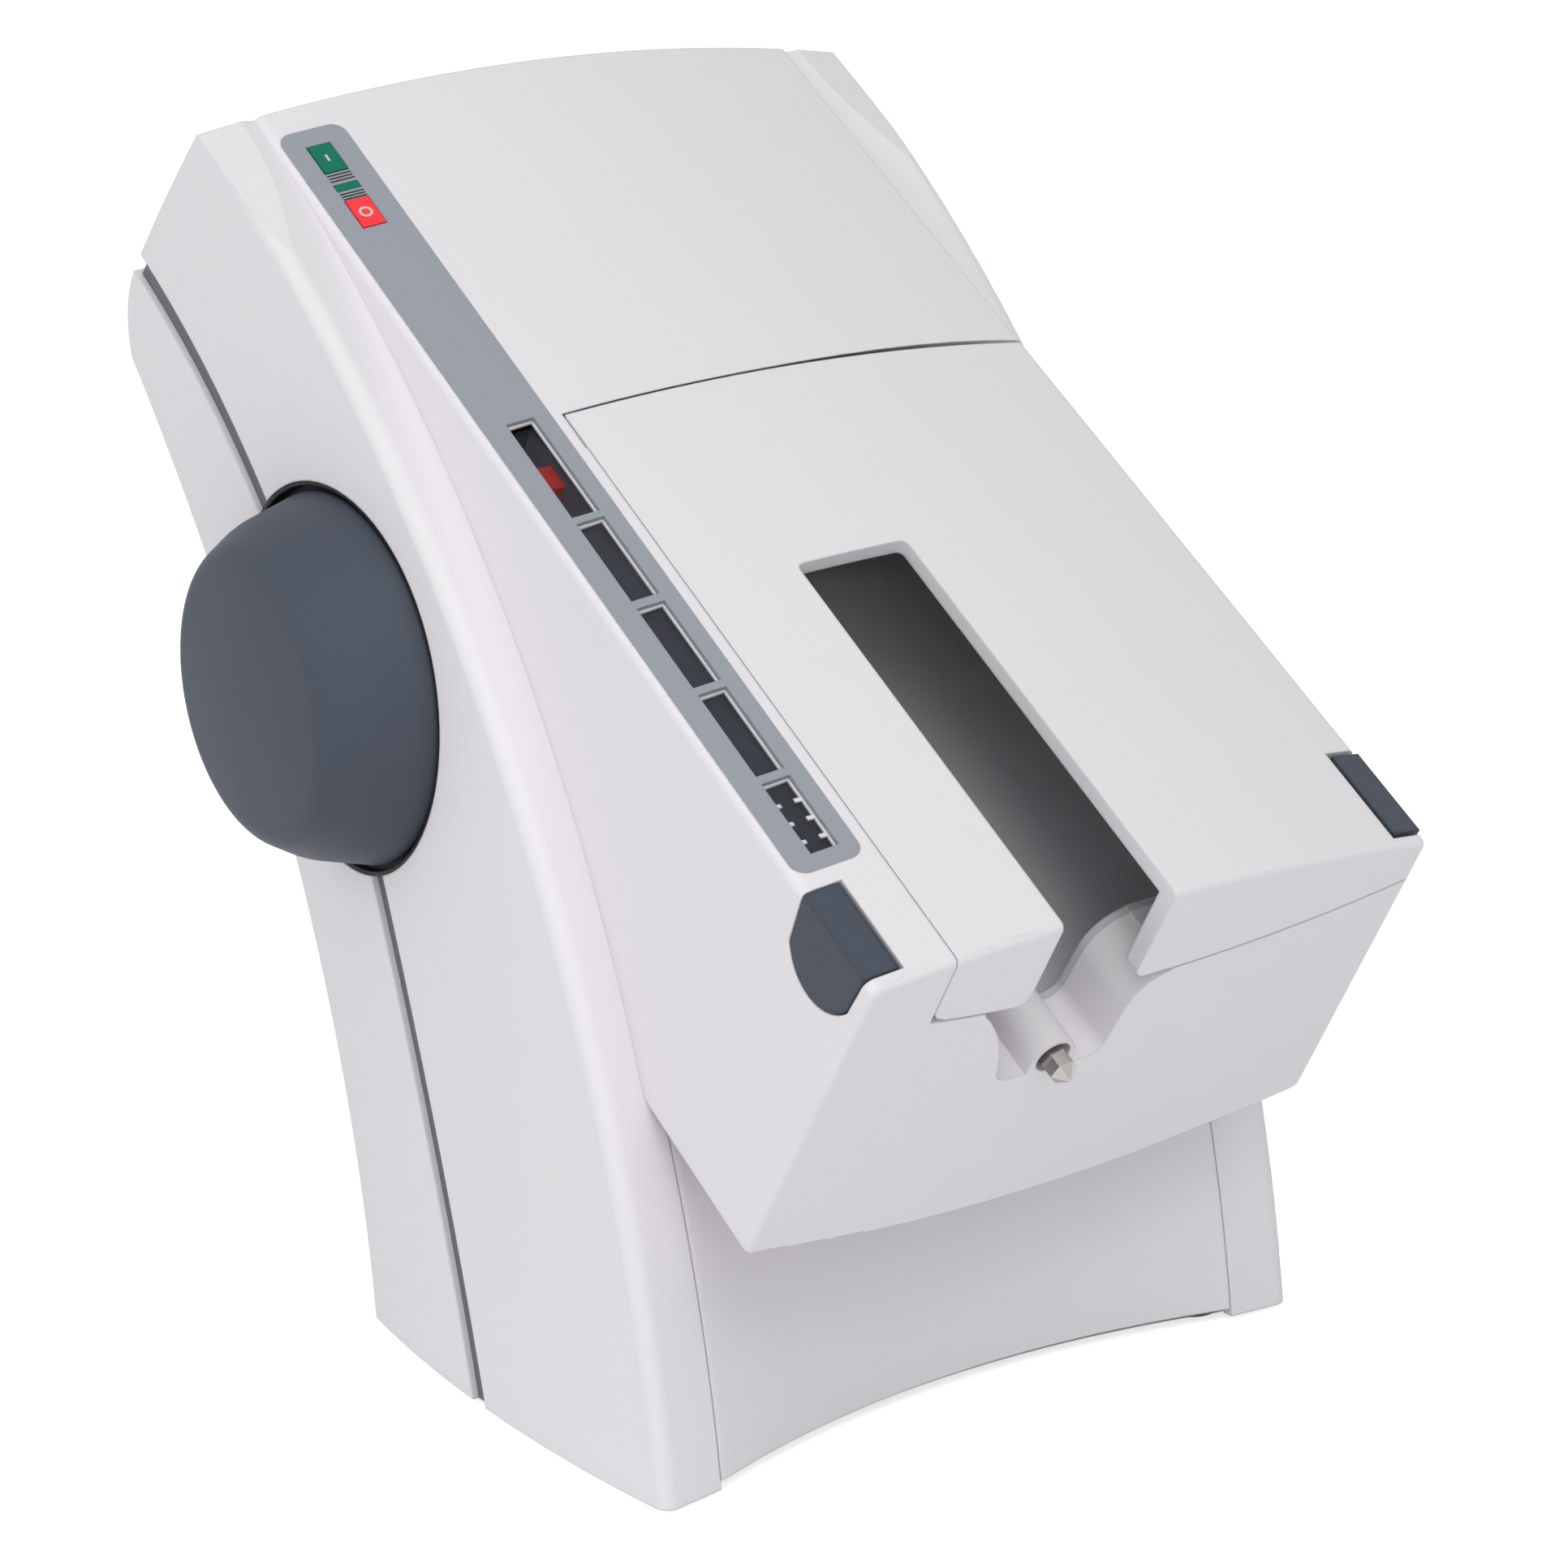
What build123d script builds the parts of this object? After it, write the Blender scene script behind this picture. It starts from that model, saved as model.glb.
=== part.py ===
"""Automatic bench-top mixer for impression material.

A lean, hollow body carries a sloping head. Under the head's lid is the bay for a
cartridge of two foil bags. A knob, or a geared motor, drives two push discs down
the bay, and a hexagonal shaft turns the mixing tip in the slot at the front.

Millimetres, +Z up, front toward -Y. Most of the machine is square to the sloping
head, so its pieces are placed by three numbers: across (toward +X), along (up the
slope from the front face) and out (square to the head's top, zero on its middle line).
"""

import math
import os

from build123d import *

os.makedirs("parts", exist_ok=True)

# Placing of the body's middle plane and of its front foot line in the part's frame
mid_x = 14.5
mid_y = -84.0

# Body that leans back
half_width = 106.0
belly_depth = 44.0
belly_radius = 617.0
crease_depth = -0.9
leg_width = 20.5
front_hollow = 16.9
lean_radius = 441.6
lean_height = -25.0
lean_turn = 66.0
rear_foot = 167.0
rear_mid = (186.0, 140.8)
rear_top = (247.9, 268.6)
nose_mid = (245.8, 284.0)
nose_end = (236.5, 297.0)
facet_slope = 44.0
bow_radius = 1081.0
bow_angle = 8.0
shell_wall = 3.0
floor_gap = 1.5
crease_round = 4.0

# Head on top of it
slope = 34.3
edge_depth = -80.8
edge_height = 161.0
crown_radius = 541.5
head_half_top = 87.4
head_half_low = 90.6
head_low_out = -105.5
head_belly_out = -116.0
head_wall = 3.2
front_round = 2.0
side_round = 3.0

# Strip between the front and rear shells
strip_foot = 87.0
strip_mid = (102.5, 72.0)
strip_knee = (121.4, 145.4)
strip_nose = (229.0, 299.0)
strip_rise = 35.7
band_width = 7.2
band_recess = 1.8
band_thick = 2.2

# Panel between the legs
panel_half = 85.6
panel_gap = 0.3
panel_rise = 2.3

# Lid
lid_left = -63.8
lid_split = 194.6
lid_gap = 0.3
lid_wall = 2.8
lid_front = 5.0
lid_corner = 3.5
seam_out = -31.5
seam_radius = 354.6
slot_left = -33.0
slot_right = 0.9
slot_length = 127.0
slot_corner = 2.0
slot_rim = 4.4
rim_thick = 2.2
front_block = 20.0
hinge_along = 188.0
hinge_out = -8.0
hinge_pin_radius = 1.5
hinge_knuckle = 3.2
hinge_spacing = 29.0
hinge_width = 6.0
hinge_clear = 0.4
lid_heel = 6.0

# Bay under the lid
bay_right = 84.5
bay_rear = 199.0
bay_floor = -64.0
bay_wall = 2.0
well_floor = 3.0
well_wall = 2.5
tunnel_radius = 7.0
tunnel_out = -57.0

# Mixing shaft
mix_across = -14.0
mix_out = -56.0
mix_radius = 4.0
mix_bore = 5.0
mix_reach = 8.0
hex_size = 6.8
hex_length = 17.0
hex_point = 3.0
mix_rear = 212.0
running = 0.08

# Push discs, rods and carriage
big_across = 28.0
small_across = -42.0
big_disc = 28.0
small_disc = 12.5
disc_out = -34.0
disc_start = 174.0
disc_thick = 8.0
rod_radius = 5.0
travel = 110.0
beam_along = 313.0
beam_thick = 9.0
pointer_across = -75.0
pointer_out = -9.4

# Rack drive
knob_along = 199.2
knob_out = -95.0
module = 2.0
pinion_teeth = 16
rack_width = 8.0
rack_back = 6.0
rack_front = 188.0
mesh_slack = 0.25
knob_shaft_radius = 5.0
advance_teeth = 48
advance_pinion_teeth = 16
advance_module = 1.0
advance_angle = -95.0

# Knob
knob_rim = 50.7
knob_end = 40.2
knob_face = 132.0
knob_dome = 135.0
knob_foot = 103.0
knob_edge = 8.0
dish_radius = 53.5
dish_floor = 101.5
dish_thick = 2.0

# Scale strip, windows and keys
scale_left = -86.0
scale_right = -67.0
scale_from = 37.3
scale_rear = 10.3
scale_corner = 4.0
scale_thick = 1.2
window_left = -79.6
window_right = -71.6
window_ends = ((160.7, 196.0), (130.0, 158.5), (99.0, 127.4), (68.2, 96.6), (42.2, 65.7))
window_taper = 16.0
pane_thick = 1.0
pane_depth = 2.0
comb_places = (47.0, 53.0, 59.0)
comb_length = 2.2
comb_width = 1.2
key_left = -80.4
key_right = -73.2
green_key_back = (17.9, 6.4)
red_key_back = (40.3, 29.0)
lens_back = (25.4, 22.4)
key_gap = 0.3
key_travel = 0.8

# Start buttons on both corners
button_inner = 77.8
button_from = 4.0
button_to = 32.0
button_low = -27.0
button_shelf = -19.0
button_gap = 0.5
button_travel = 0.6
switch_out = -13.5

# Key board under the scale strip
key_board_out = -14.8
key_board_thick = 1.6
key_board_back = (46.2, 1.7)

# Mains inlet low on the rear
inlet_across = 0.0
inlet_height = 36.0
inlet_half_width = 15.0
inlet_half_height = 12.0
inlet_face = 167.6

# Chassis and base
plate_left = -64.0
plate_right = 42.0
plate_thick = 3.0
base_thick = 2.5
foot_radius = 8.0
foot_sink = 1.2
foot_places = ((-84.0, 18.0), (84.0, 18.0), (-76.0, 136.0), (76.0, 136.0))
board_height = 14.0
board_posts = ((-50.0, 58.0), (30.0, 58.0), (-50.0, 134.0), (30.0, 134.0))
boss_radius = 5.0
boss_top = 32.0
screw_radius = 1.5
front_bosses = ((-98.6, 46.0), (98.6, 46.0))
rear_bosses = ((-93.2, 126.0), (93.2, 126.0))

radian = math.pi / 180.0
slope_run = math.cos(slope * radian)
slope_rise = math.sin(slope * radian)
up_slope = Vector(0, slope_run, slope_rise)
out_slope = Vector(0, -slope_rise, slope_run)
head_edge = Vector(mid_x, mid_y + edge_depth, edge_height)

# Places along the slope that follow from the rear outline
facet_fall = math.tan(facet_slope * radian)
top_rear = (nose_end[0] - edge_depth) * facet_fall + nose_end[1] - edge_height
top_rear /= slope_rise + slope_run * facet_fall
head_reach = (rear_top[0] - edge_depth) * slope_run + (rear_top[1] - edge_height) * slope_rise + 15.0
scale_to = top_rear - scale_rear
green_key_ends = (scale_to - green_key_back[0], scale_to - green_key_back[1])
red_key_ends = (scale_to - red_key_back[0], scale_to - red_key_back[1])
lens_ends = (scale_to - lens_back[0], scale_to - lens_back[1])
key_board_ends = (scale_to - key_board_back[0], scale_to - key_board_back[1])


def ground(height=0.0):
    """Level plane: across, depth."""
    return Plane(origin=(mid_x, mid_y, height))


def section(across=0.0):
    """Upright plane from front to rear: depth, height."""
    return Plane(origin=(mid_x + across, mid_y, 0), x_dir=(0, 1, 0), z_dir=(1, 0, 0))


def cross(along=0.0):
    """Plane square to the slope: across, out. Extrude a negative amount to go up the slope."""
    return Plane(origin=head_edge + up_slope * along, x_dir=(1, 0, 0), z_dir=-up_slope)


def flat(out=0.0):
    """Plane parallel to the head's top: across, along."""
    return Plane(origin=head_edge + out_slope * out, x_dir=(1, 0, 0), z_dir=out_slope)


def flank(across=0.0):
    """Upright plane beside the head: along, out."""
    return Plane(origin=head_edge + Vector(across, 0, 0), x_dir=up_slope, z_dir=(1, 0, 0))


def head_place(across, along, out):
    """Point of the machine given by the head's three numbers."""
    return head_edge + Vector(across, 0, 0) + up_slope * along + out_slope * out


def turning_face(across, along, out):
    """Plane for a wheel that turns about a line across the machine."""
    return Plane(origin=head_place(across, along, out), x_dir=up_slope, z_dir=(1, 0, 0))


def spinning_face(across, along, out):
    """Plane for a wheel that turns about a line along the slope."""
    return Plane(origin=head_place(across, along, out), x_dir=(1, 0, 0), z_dir=-up_slope)


def crown(across, inset=0.0):
    """Height of the crowned top over a place across it."""
    return math.sqrt((crown_radius - inset) ** 2 - across**2) - crown_radius


def belly(across):
    """Height of the head's underside over a place across it."""
    sag = head_low_out - head_belly_out
    radius = (head_half_low**2 + sag**2) / (2 * sag)
    return head_belly_out + radius - math.sqrt(radius**2 - across**2)


def seam(across):
    """Height of the lid's lower edge, an arc that sags in the middle."""
    return seam_out + seam_radius - math.sqrt(seam_radius**2 - across**2)


def block(across, along, out):
    """Plain block between pairs of limits."""
    with BuildPart() as solid:
        with BuildSketch(flat(out[0])):
            with Locations(((across[0] + across[1]) / 2, (along[0] + along[1]) / 2)):
                Rectangle(across[1] - across[0], along[1] - along[0])
        extrude(amount=out[1] - out[0])
    return solid.part


def tube(across, out, ends, radius, bore=0.0):
    """Round bar or bush that lies along the slope."""
    with BuildPart() as solid:
        with BuildSketch(cross(ends[0])):
            with Locations((across, out)):
                Circle(radius)
                if bore > 0:
                    Circle(bore, mode=Mode.SUBTRACT)
        extrude(amount=ends[0] - ends[1])
    return solid.part


def axle(along, out, ends, radius, bore=0.0):
    """Round bar or bush that lies across the machine."""
    with BuildPart() as solid:
        with BuildSketch(flank(ends[0])):
            with Locations((along, out)):
                Circle(radius)
                if bore > 0:
                    Circle(bore, mode=Mode.SUBTRACT)
        extrude(amount=ends[1] - ends[0])
    return solid.part


# Main forms

belly_centre = half_width - belly_radius


def side_at(depth, inset=0.0):
    """Half width of the body's plan at a depth, drawn in by an inset."""
    return belly_centre + math.sqrt((belly_radius - inset) ** 2 - (depth - belly_depth) ** 2)


def side_form(inset):
    """Side outline turned about a far upright axis, so that the rear is slightly bowed."""
    tilt = bow_angle * radian
    bow_plane = Plane(
        origin=(mid_x, mid_y - bow_radius + rear_foot, 0),
        x_dir=(-math.sin(tilt), math.cos(tilt), 0),
        z_dir=(math.cos(tilt), math.sin(tilt), 0),
    )
    shift = bow_radius - rear_foot
    facet_end = 420.0
    facet_run = (facet_end - nose_end[1]) / math.tan(facet_slope * radian)
    with BuildPart() as form:
        with BuildSketch(bow_plane):
            with BuildLine():
                Line((shift - 130, -40), (shift + rear_foot - 5, -40))
                Line((shift + rear_foot - 5, -40), (shift + rear_foot, 0))
                ThreePointArc(
                    (shift + rear_foot, 0),
                    (shift + rear_mid[0], rear_mid[1]),
                    (shift + rear_top[0], rear_top[1]),
                )
                ThreePointArc(
                    (shift + rear_top[0], rear_top[1]),
                    (shift + nose_mid[0], nose_mid[1]),
                    (shift + nose_end[0], nose_end[1]),
                )
                Line(
                    (shift + nose_end[0], nose_end[1]),
                    (shift + nose_end[0] - facet_run, facet_end),
                )
                Line((shift + nose_end[0] - facet_run, facet_end), (shift - 130, facet_end))
                Line((shift - 130, facet_end), (shift - 130, -40))
            make_face()
            if inset > 0:
                offset(amount=-inset, kind=Kind.INTERSECTION)
        revolve(
            axis=Axis((mid_x, mid_y - shift, 0), (0, 0, -1)),
            revolution_arc=2 * bow_angle,
        )
    return form.part


def wide_body(inset):
    """Body that leans back, drawn in by an inset."""
    plan_rear = 330.0 - inset
    plan_mid = plan_rear / 2
    front = crease_depth + 1.1 * inset
    crease = side_at(front, inset)
    leg_inner = side_at(crease_depth) - leg_width
    leg_front = front + 3.0
    far = lean_radius + crease_depth
    crown_half = half_width + 30.0
    crown_low = crown(crown_half) - 420.0
    with BuildPart() as form:
        with BuildSketch(ground(lean_height)):
            with BuildLine():
                Line((crease, front), (leg_inner, leg_front))
                ThreePointArc(
                    (leg_inner, leg_front), (0, front_hollow + inset), (-leg_inner, leg_front)
                )
                Line((-leg_inner, leg_front), (-crease, front))
                ThreePointArc(
                    (-crease, front),
                    (-side_at(plan_mid, inset), plan_mid),
                    (-side_at(plan_rear, inset), plan_rear),
                )
                Line((-side_at(plan_rear, inset), plan_rear), (side_at(plan_rear, inset), plan_rear))
                ThreePointArc(
                    (side_at(plan_rear, inset), plan_rear),
                    (side_at(plan_mid, inset), plan_mid),
                    (crease, front),
                )
            make_face()
        revolve(
            axis=Axis((mid_x, mid_y + far, lean_height), (-1, 0, 0)),
            revolution_arc=lean_turn,
        )
        if inset < shell_wall:
            creases = form.edges().filter_by(
                lambda e: abs(abs(e.position_at(0.5).X - mid_x) - crease) < 0.5 and e.length > 200
            )
            fillet(creases, radius=crease_round - inset)
        add(side_form(inset), mode=Mode.INTERSECT)
        with BuildSketch(cross(-60)):
            with BuildLine():
                ThreePointArc(
                    (-crown_half, crown(crown_half, inset)),
                    (0, crown(0, inset)),
                    (crown_half, crown(crown_half, inset)),
                )
                Polyline(
                    (crown_half, crown(crown_half, inset)),
                    (crown_half, crown_low),
                    (-crown_half, crown_low),
                    (-crown_half, crown(crown_half, inset)),
                )
            make_face()
        extrude(amount=-500, mode=Mode.INTERSECT)
    return form.part


def head_prism(inset):
    """Head that juts forward along the slope, drawn in by an inset."""
    half_top = head_half_top - inset
    half_low = head_half_low - inset
    low = head_low_out + inset
    with BuildPart() as form:
        with BuildSketch(cross(inset)):
            with BuildLine():
                ThreePointArc(
                    (-half_top, crown(half_top, inset)), (0, -inset), (half_top, crown(half_top, inset))
                )
                Line((half_top, crown(half_top, inset)), (half_low, low))
                ThreePointArc((half_low, low), (0, head_belly_out + inset), (-half_low, low))
                Line((-half_low, low), (-half_top, crown(half_top, inset)))
            make_face()
        extrude(amount=inset - head_reach)
        add(side_form(inset), mode=Mode.INTERSECT)
    return form.part


def behind_strip(shift):
    """Space behind the strip that parts the two shells."""
    with BuildPart() as form:
        with BuildSketch(section(-160)):
            with BuildLine():
                Line((strip_foot - 7.4, -40), (strip_foot, 0))
                ThreePointArc((strip_foot, 0), strip_mid, strip_knee)
                TangentArc(strip_knee, strip_nose, tangent=(0.271, 0.963))
                leave = (
                    strip_nose[0] + 80 * math.cos(strip_rise * radian),
                    strip_nose[1] + 80 * math.sin(strip_rise * radian),
                )
                Polyline(strip_nose, leave, (400, leave[1]), (400, -40), (strip_foot - 7.4, -40))
            make_face()
            if shift > 0:
                offset(amount=-shift, kind=Kind.INTERSECTION)
        extrude(amount=320)
    return form.part


def panel_space(gap):
    """Space of the panel between the legs, below the head."""
    low = -330.0
    half = panel_half - gap
    top = belly(half) - gap
    with BuildPart() as form:
        with BuildSketch(cross(-60)):
            with BuildLine():
                Polyline((-half, top), (-half, low), (half, low), (half, top))
                ThreePointArc((half, top), (0, head_belly_out - gap), (-half, top))
            make_face()
        extrude(amount=-260)
        with BuildSketch(section(-130)):
            with BuildLine():
                Polyline((-40, -60), (40, -60), (40, 60), (70, 140), (-40, 140), (-40, -60))
            make_face()
        extrude(amount=260, mode=Mode.INTERSECT)
    return form.part


def over_seam(lift, across, along):
    """Space above the lid's lower edge."""
    with BuildPart() as form:
        with BuildSketch(cross(along[0])):
            with BuildLine():
                ThreePointArc(
                    (across[0], seam(across[0]) + lift),
                    (0, seam(0) + lift),
                    (across[1], seam(across[1]) + lift),
                )
                Polyline(
                    (across[1], seam(across[1]) + lift),
                    (across[1], 20),
                    (across[0], 20),
                    (across[0], seam(across[0]) + lift),
                )
            make_face()
        extrude(amount=along[0] - along[1])
    return form.part


def bay_space(along, top):
    """Inside of the bay's liner, with the ridge that covers the mixing shaft."""
    left = lid_left + bay_wall
    right = bay_right - bay_wall
    with BuildPart() as form:
        with BuildSketch(cross(along[0])):
            with BuildLine():
                Polyline(
                    (mix_across - tunnel_radius, tunnel_out),
                    (mix_across - tunnel_radius, bay_floor),
                    (left, bay_floor),
                    (left, top),
                    (right, top),
                    (right, bay_floor),
                    (mix_across + tunnel_radius, bay_floor),
                    (mix_across + tunnel_radius, tunnel_out),
                )
                ThreePointArc(
                    (mix_across + tunnel_radius, tunnel_out),
                    (mix_across, tunnel_out + tunnel_radius),
                    (mix_across - tunnel_radius, tunnel_out),
                )
            make_face()
        extrude(amount=along[0] - along[1])
    return form.part


def hinge_sweep(clear):
    """Space that the lid's rear edge turns through."""
    left = lid_left - lid_gap
    right = head_half_top + 3.0

    def reach(across):
        return math.hypot(lid_heel, crown(across) - hinge_out) + clear

    with BuildPart() as form:
        with BuildSketch(flat(hinge_out)):
            with BuildLine():
                ThreePointArc(
                    (left, hinge_along + reach(left)),
                    (0, hinge_along + reach(0)),
                    (right, hinge_along + reach(right)),
                )
                Polyline(
                    (right, hinge_along + reach(right)),
                    (right, hinge_along),
                    (left, hinge_along),
                    (left, hinge_along + reach(left)),
                )
            make_face()
        revolve(axis=Axis(tuple(head_place(0, hinge_along, hinge_out)), (1, 0, 0)))
    return form.part


def button_space(side, grow):
    """Start button's form on one corner: side is -1 on the left and 1 on the right."""
    with BuildPart() as form:
        with BuildSketch(flank(side * button_inner - side * grow)):
            with BuildLine():
                Polyline(
                    (button_from + 1, -19),
                    (button_from - 0.5, 6),
                    (button_to, 6),
                    (button_to, -8),
                    (button_to - 2, -21),
                )
                ThreePointArc(
                    (button_to - 2, -21), (button_to - 12, button_low), (button_from + 1, -19)
                )
            make_face()
            if grow > 0:
                offset(amount=grow, kind=Kind.INTERSECTION)
        extrude(amount=side * 20)
        lip = side * (bay_right + button_gap + 0.1 - grow)
        shelf = block(
            (min(side * 60, lip), max(side * 60, lip)), (-5, 60), (-60, button_shelf - grow)
        )
        add(shelf, mode=Mode.SUBTRACT)
    return form.part


def gear(plane, teeth, size, thick, bore, turned=0.0, slack=mesh_slack):
    """Spur gear with involute flanks. A tooth points along the plane's x direction, turned."""
    pitch = teeth * size / 2
    base = pitch * math.cos(20 * radian)
    tip = pitch + 0.9 * size
    root = pitch - 1.2 * size

    def half_angle(radius):
        press = math.acos(min(1.0, base / radius))
        rolled = math.tan(20 * radian) - 20 * radian - math.tan(press) + press
        return math.pi / (2 * teeth) - slack / (2 * pitch) + rolled

    steps = (max(base, root), (max(base, root) + tip) / 2, tip)
    outline = []
    for tooth in range(teeth):
        middle = 2 * math.pi * tooth / teeth + turned * radian
        flank_points = [(root, -half_angle(steps[0]))]
        flank_points += [(radius, -half_angle(radius)) for radius in steps]
        flank_points += [(radius, half_angle(radius)) for radius in reversed(steps)]
        flank_points += [(root, half_angle(steps[0]))]
        if root >= base:
            flank_points = flank_points[1:-1]
        for radius, angle in flank_points:
            outline.append((radius * math.cos(middle + angle), radius * math.sin(middle + angle)))
    with BuildPart() as wheel:
        with BuildSketch(plane):
            with BuildLine():
                Polyline(*outline, close=True)
            make_face()
            Circle(bore, mode=Mode.SUBTRACT)
        extrude(amount=thick)
    return wheel.part


def finish(part, name):
    """Name a piece and write it."""
    part.label = name
    export_step(part, f"parts/{name}.step")


def crown_layer(top, low, across, along):
    """Layer that follows the crown, between two depths below it."""
    with BuildPart() as form:
        with BuildSketch(cross(along[0])):
            with BuildLine():
                ThreePointArc(
                    (across[0], crown(across[0], top)),
                    ((across[0] + across[1]) / 2, crown((across[0] + across[1]) / 2, top)),
                    (across[1], crown(across[1], top)),
                )
                Line((across[1], crown(across[1], top)), (across[1], crown(across[1], low)))
                ThreePointArc(
                    (across[1], crown(across[1], low)),
                    ((across[0] + across[1]) / 2, crown((across[0] + across[1]) / 2, low)),
                    (across[0], crown(across[0], low)),
                )
                Line((across[0], crown(across[0], low)), (across[0], crown(across[0], top)))
            make_face()
        extrude(amount=along[0] - along[1])
    return form.part


def upright(outline, across):
    """Plate with an upright outline in depth and height."""
    with BuildPart() as form:
        with BuildSketch(section(across[0])):
            with BuildLine():
                Polyline(*outline, close=True)
            make_face()
        extrude(amount=across[1] - across[0])
    return form.part


def pillar(place, ends, radius, bore=0.0):
    """Upright round post at a place across and in depth."""
    with BuildPart() as form:
        with BuildSketch(ground(ends[0])):
            with Locations(place):
                Circle(radius)
                if bore > 0:
                    Circle(bore, mode=Mode.SUBTRACT)
        extrude(amount=ends[1] - ends[0])
    return form.part


def peg(place, ends, radius, bore=0.0):
    """Round peg square to the head's top, at a place across and along."""
    with BuildPart() as form:
        with BuildSketch(flat(ends[0])):
            with Locations(place):
                Circle(radius)
                if bore > 0:
                    Circle(bore, mode=Mode.SUBTRACT)
        extrude(amount=ends[1] - ends[0])
    return form.part


# Places that follow from the sizes
base_top = floor_gap + base_thick
well_low = bay_floor - bay_wall - well_floor
rack_pitch = knob_out + pinion_teeth * module / 2
rack_top = rack_pitch + 1.2 * module + rack_back
rod_start = disc_start + disc_thick
bush_face = bay_rear + well_wall + 0.8
spin_front = bush_face + 1.2
mix_gear_teeth = 24
mix_pinion_teeth = 14
mix_module = 1.0
mix_gap = (mix_gear_teeth + mix_pinion_teeth) * mix_module / 2
mix_motor_out = mix_out - mix_gap
mix_motor_from = spin_front + 10.5
advance_gap = (advance_teeth + advance_pinion_teeth) * advance_module / 2
advance_along = knob_along + advance_gap * math.cos(advance_angle * radian)
advance_out = knob_out + advance_gap * math.sin(advance_angle * radian)

# Shared forms of the shells
with BuildPart() as outer_form:
    add(wide_body(0))
    add(head_prism(0))

    def seen_from_head(edge):
        rel = edge.position_at(0.5) - head_edge
        return rel.X, rel.dot(up_slope), rel.dot(out_slope)

    def along_head(edge):
        return abs(edge.tangent_at(0.5).dot(up_slope)) > 0.99

    ridges = outer_form.edges().filter_by(
        lambda e: abs(abs(seen_from_head(e)[0]) - head_half_top) < 1.5
        and along_head(e)
        and -12 < seen_from_head(e)[2] < -3
    )
    fillet(ridges, radius=side_round)
    low_ridges = outer_form.edges().filter_by(
        lambda e: abs(abs(seen_from_head(e)[0]) - head_half_low) < 1.5
        and along_head(e)
        and seen_from_head(e)[1] < 60
    )
    fillet(low_ridges, radius=side_round)
    rim = outer_form.edges().filter_by(lambda e: abs(seen_from_head(e)[1]) < 0.5)
    fillet(rim, radius=front_round)

with BuildPart() as inner_form:
    add(wide_body(shell_wall))
    add(head_prism(head_wall))
    well = block(
        (lid_left - well_wall, 130),
        (-20, bay_rear + well_wall),
        (bay_floor - bay_wall - well_floor, 30),
    )
    add(well, mode=Mode.SUBTRACT)

with BuildPart() as under_floor:
    with BuildSketch(ground(floor_gap)):
        Rectangle(700, 700)
    extrude(amount=-80)

with BuildPart() as under_panel:
    with BuildSketch(ground(floor_gap + panel_rise)):
        Rectangle(700, 700)
    extrude(amount=-80)

with BuildPart() as knob_space:
    add(axle(knob_along, knob_out, (-130, -dish_floor + dish_thick), dish_radius))

with BuildPart() as trough_space:
    top = -10.0
    with BuildSketch(cross(-1)):
        with BuildLine():
            Line((15.5, top), (13.7, -32.2))
            ThreePointArc((13.7, -32.2), (6.8, -36.2), (3.6, -43.0))
            Line((3.6, -43.0), (2.7, -55.0))
            ThreePointArc((2.7, -55.0), (1.3, -58.7), (-2.2, -60.0))
            Polyline(
                (-2.2, -60.0), (mix_across + tunnel_radius, -60.0), (mix_across + tunnel_radius, tunnel_out)
            )
            ThreePointArc(
                (mix_across + tunnel_radius, tunnel_out),
                (mix_across, tunnel_out + tunnel_radius),
                (mix_across - tunnel_radius, tunnel_out),
            )
            Polyline(
                (mix_across - tunnel_radius, tunnel_out),
                (mix_across - tunnel_radius, -60.0),
                (-26.6, -60.0),
            )
            ThreePointArc((-26.6, -60.0), (-30.2, -58.6), (-31.8, -55.0))
            Line((-31.8, -55.0), (-34.0, -48.0))
            ThreePointArc((-34.0, -48.0), (-38.6, -38.6), (-45.7, -29.6))
            Polyline((-45.7, -29.6), (-48.0, top), (15.5, top))
        make_face()
    extrude(amount=-front_block - 1.0 - 0.1)

with BuildPart() as scale_outline:
    with BuildSketch(flat(-30)) as scale_sketch:
        with Locations(((scale_left + scale_right) / 2, (scale_from + scale_to) / 2)):
            RectangleRounded(scale_right - scale_left, scale_to - scale_from, scale_corner)
    extrude(amount=45)

with BuildPart() as key_holes:
    for ends in (green_key_ends, red_key_ends, lens_ends):
        add(block((key_left, key_right), ends, (-12, 2)))

window_middle = (window_left + window_right) / 2
window_out = crown(window_middle)
with BuildPart() as window_holes:
    for ends in window_ends:
        add(block((window_left, window_right), ends, (window_out - 2.2, 2)))

pane_limits = (
    (window_left - 2.4, window_right + 3.0),
    (window_ends[-1][0] - 2.0, window_ends[0][1] + 2.0),
)
with BuildPart() as window_wells:
    for ends in window_ends:
        with BuildSketch(flat(window_out - scale_thick + 1.0)):
            with Locations((window_middle, (ends[0] + ends[1]) / 2)):
                Rectangle(window_right - window_left, ends[1] - ends[0])
        extrude(amount=-4.5, taper=window_taper)

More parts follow.
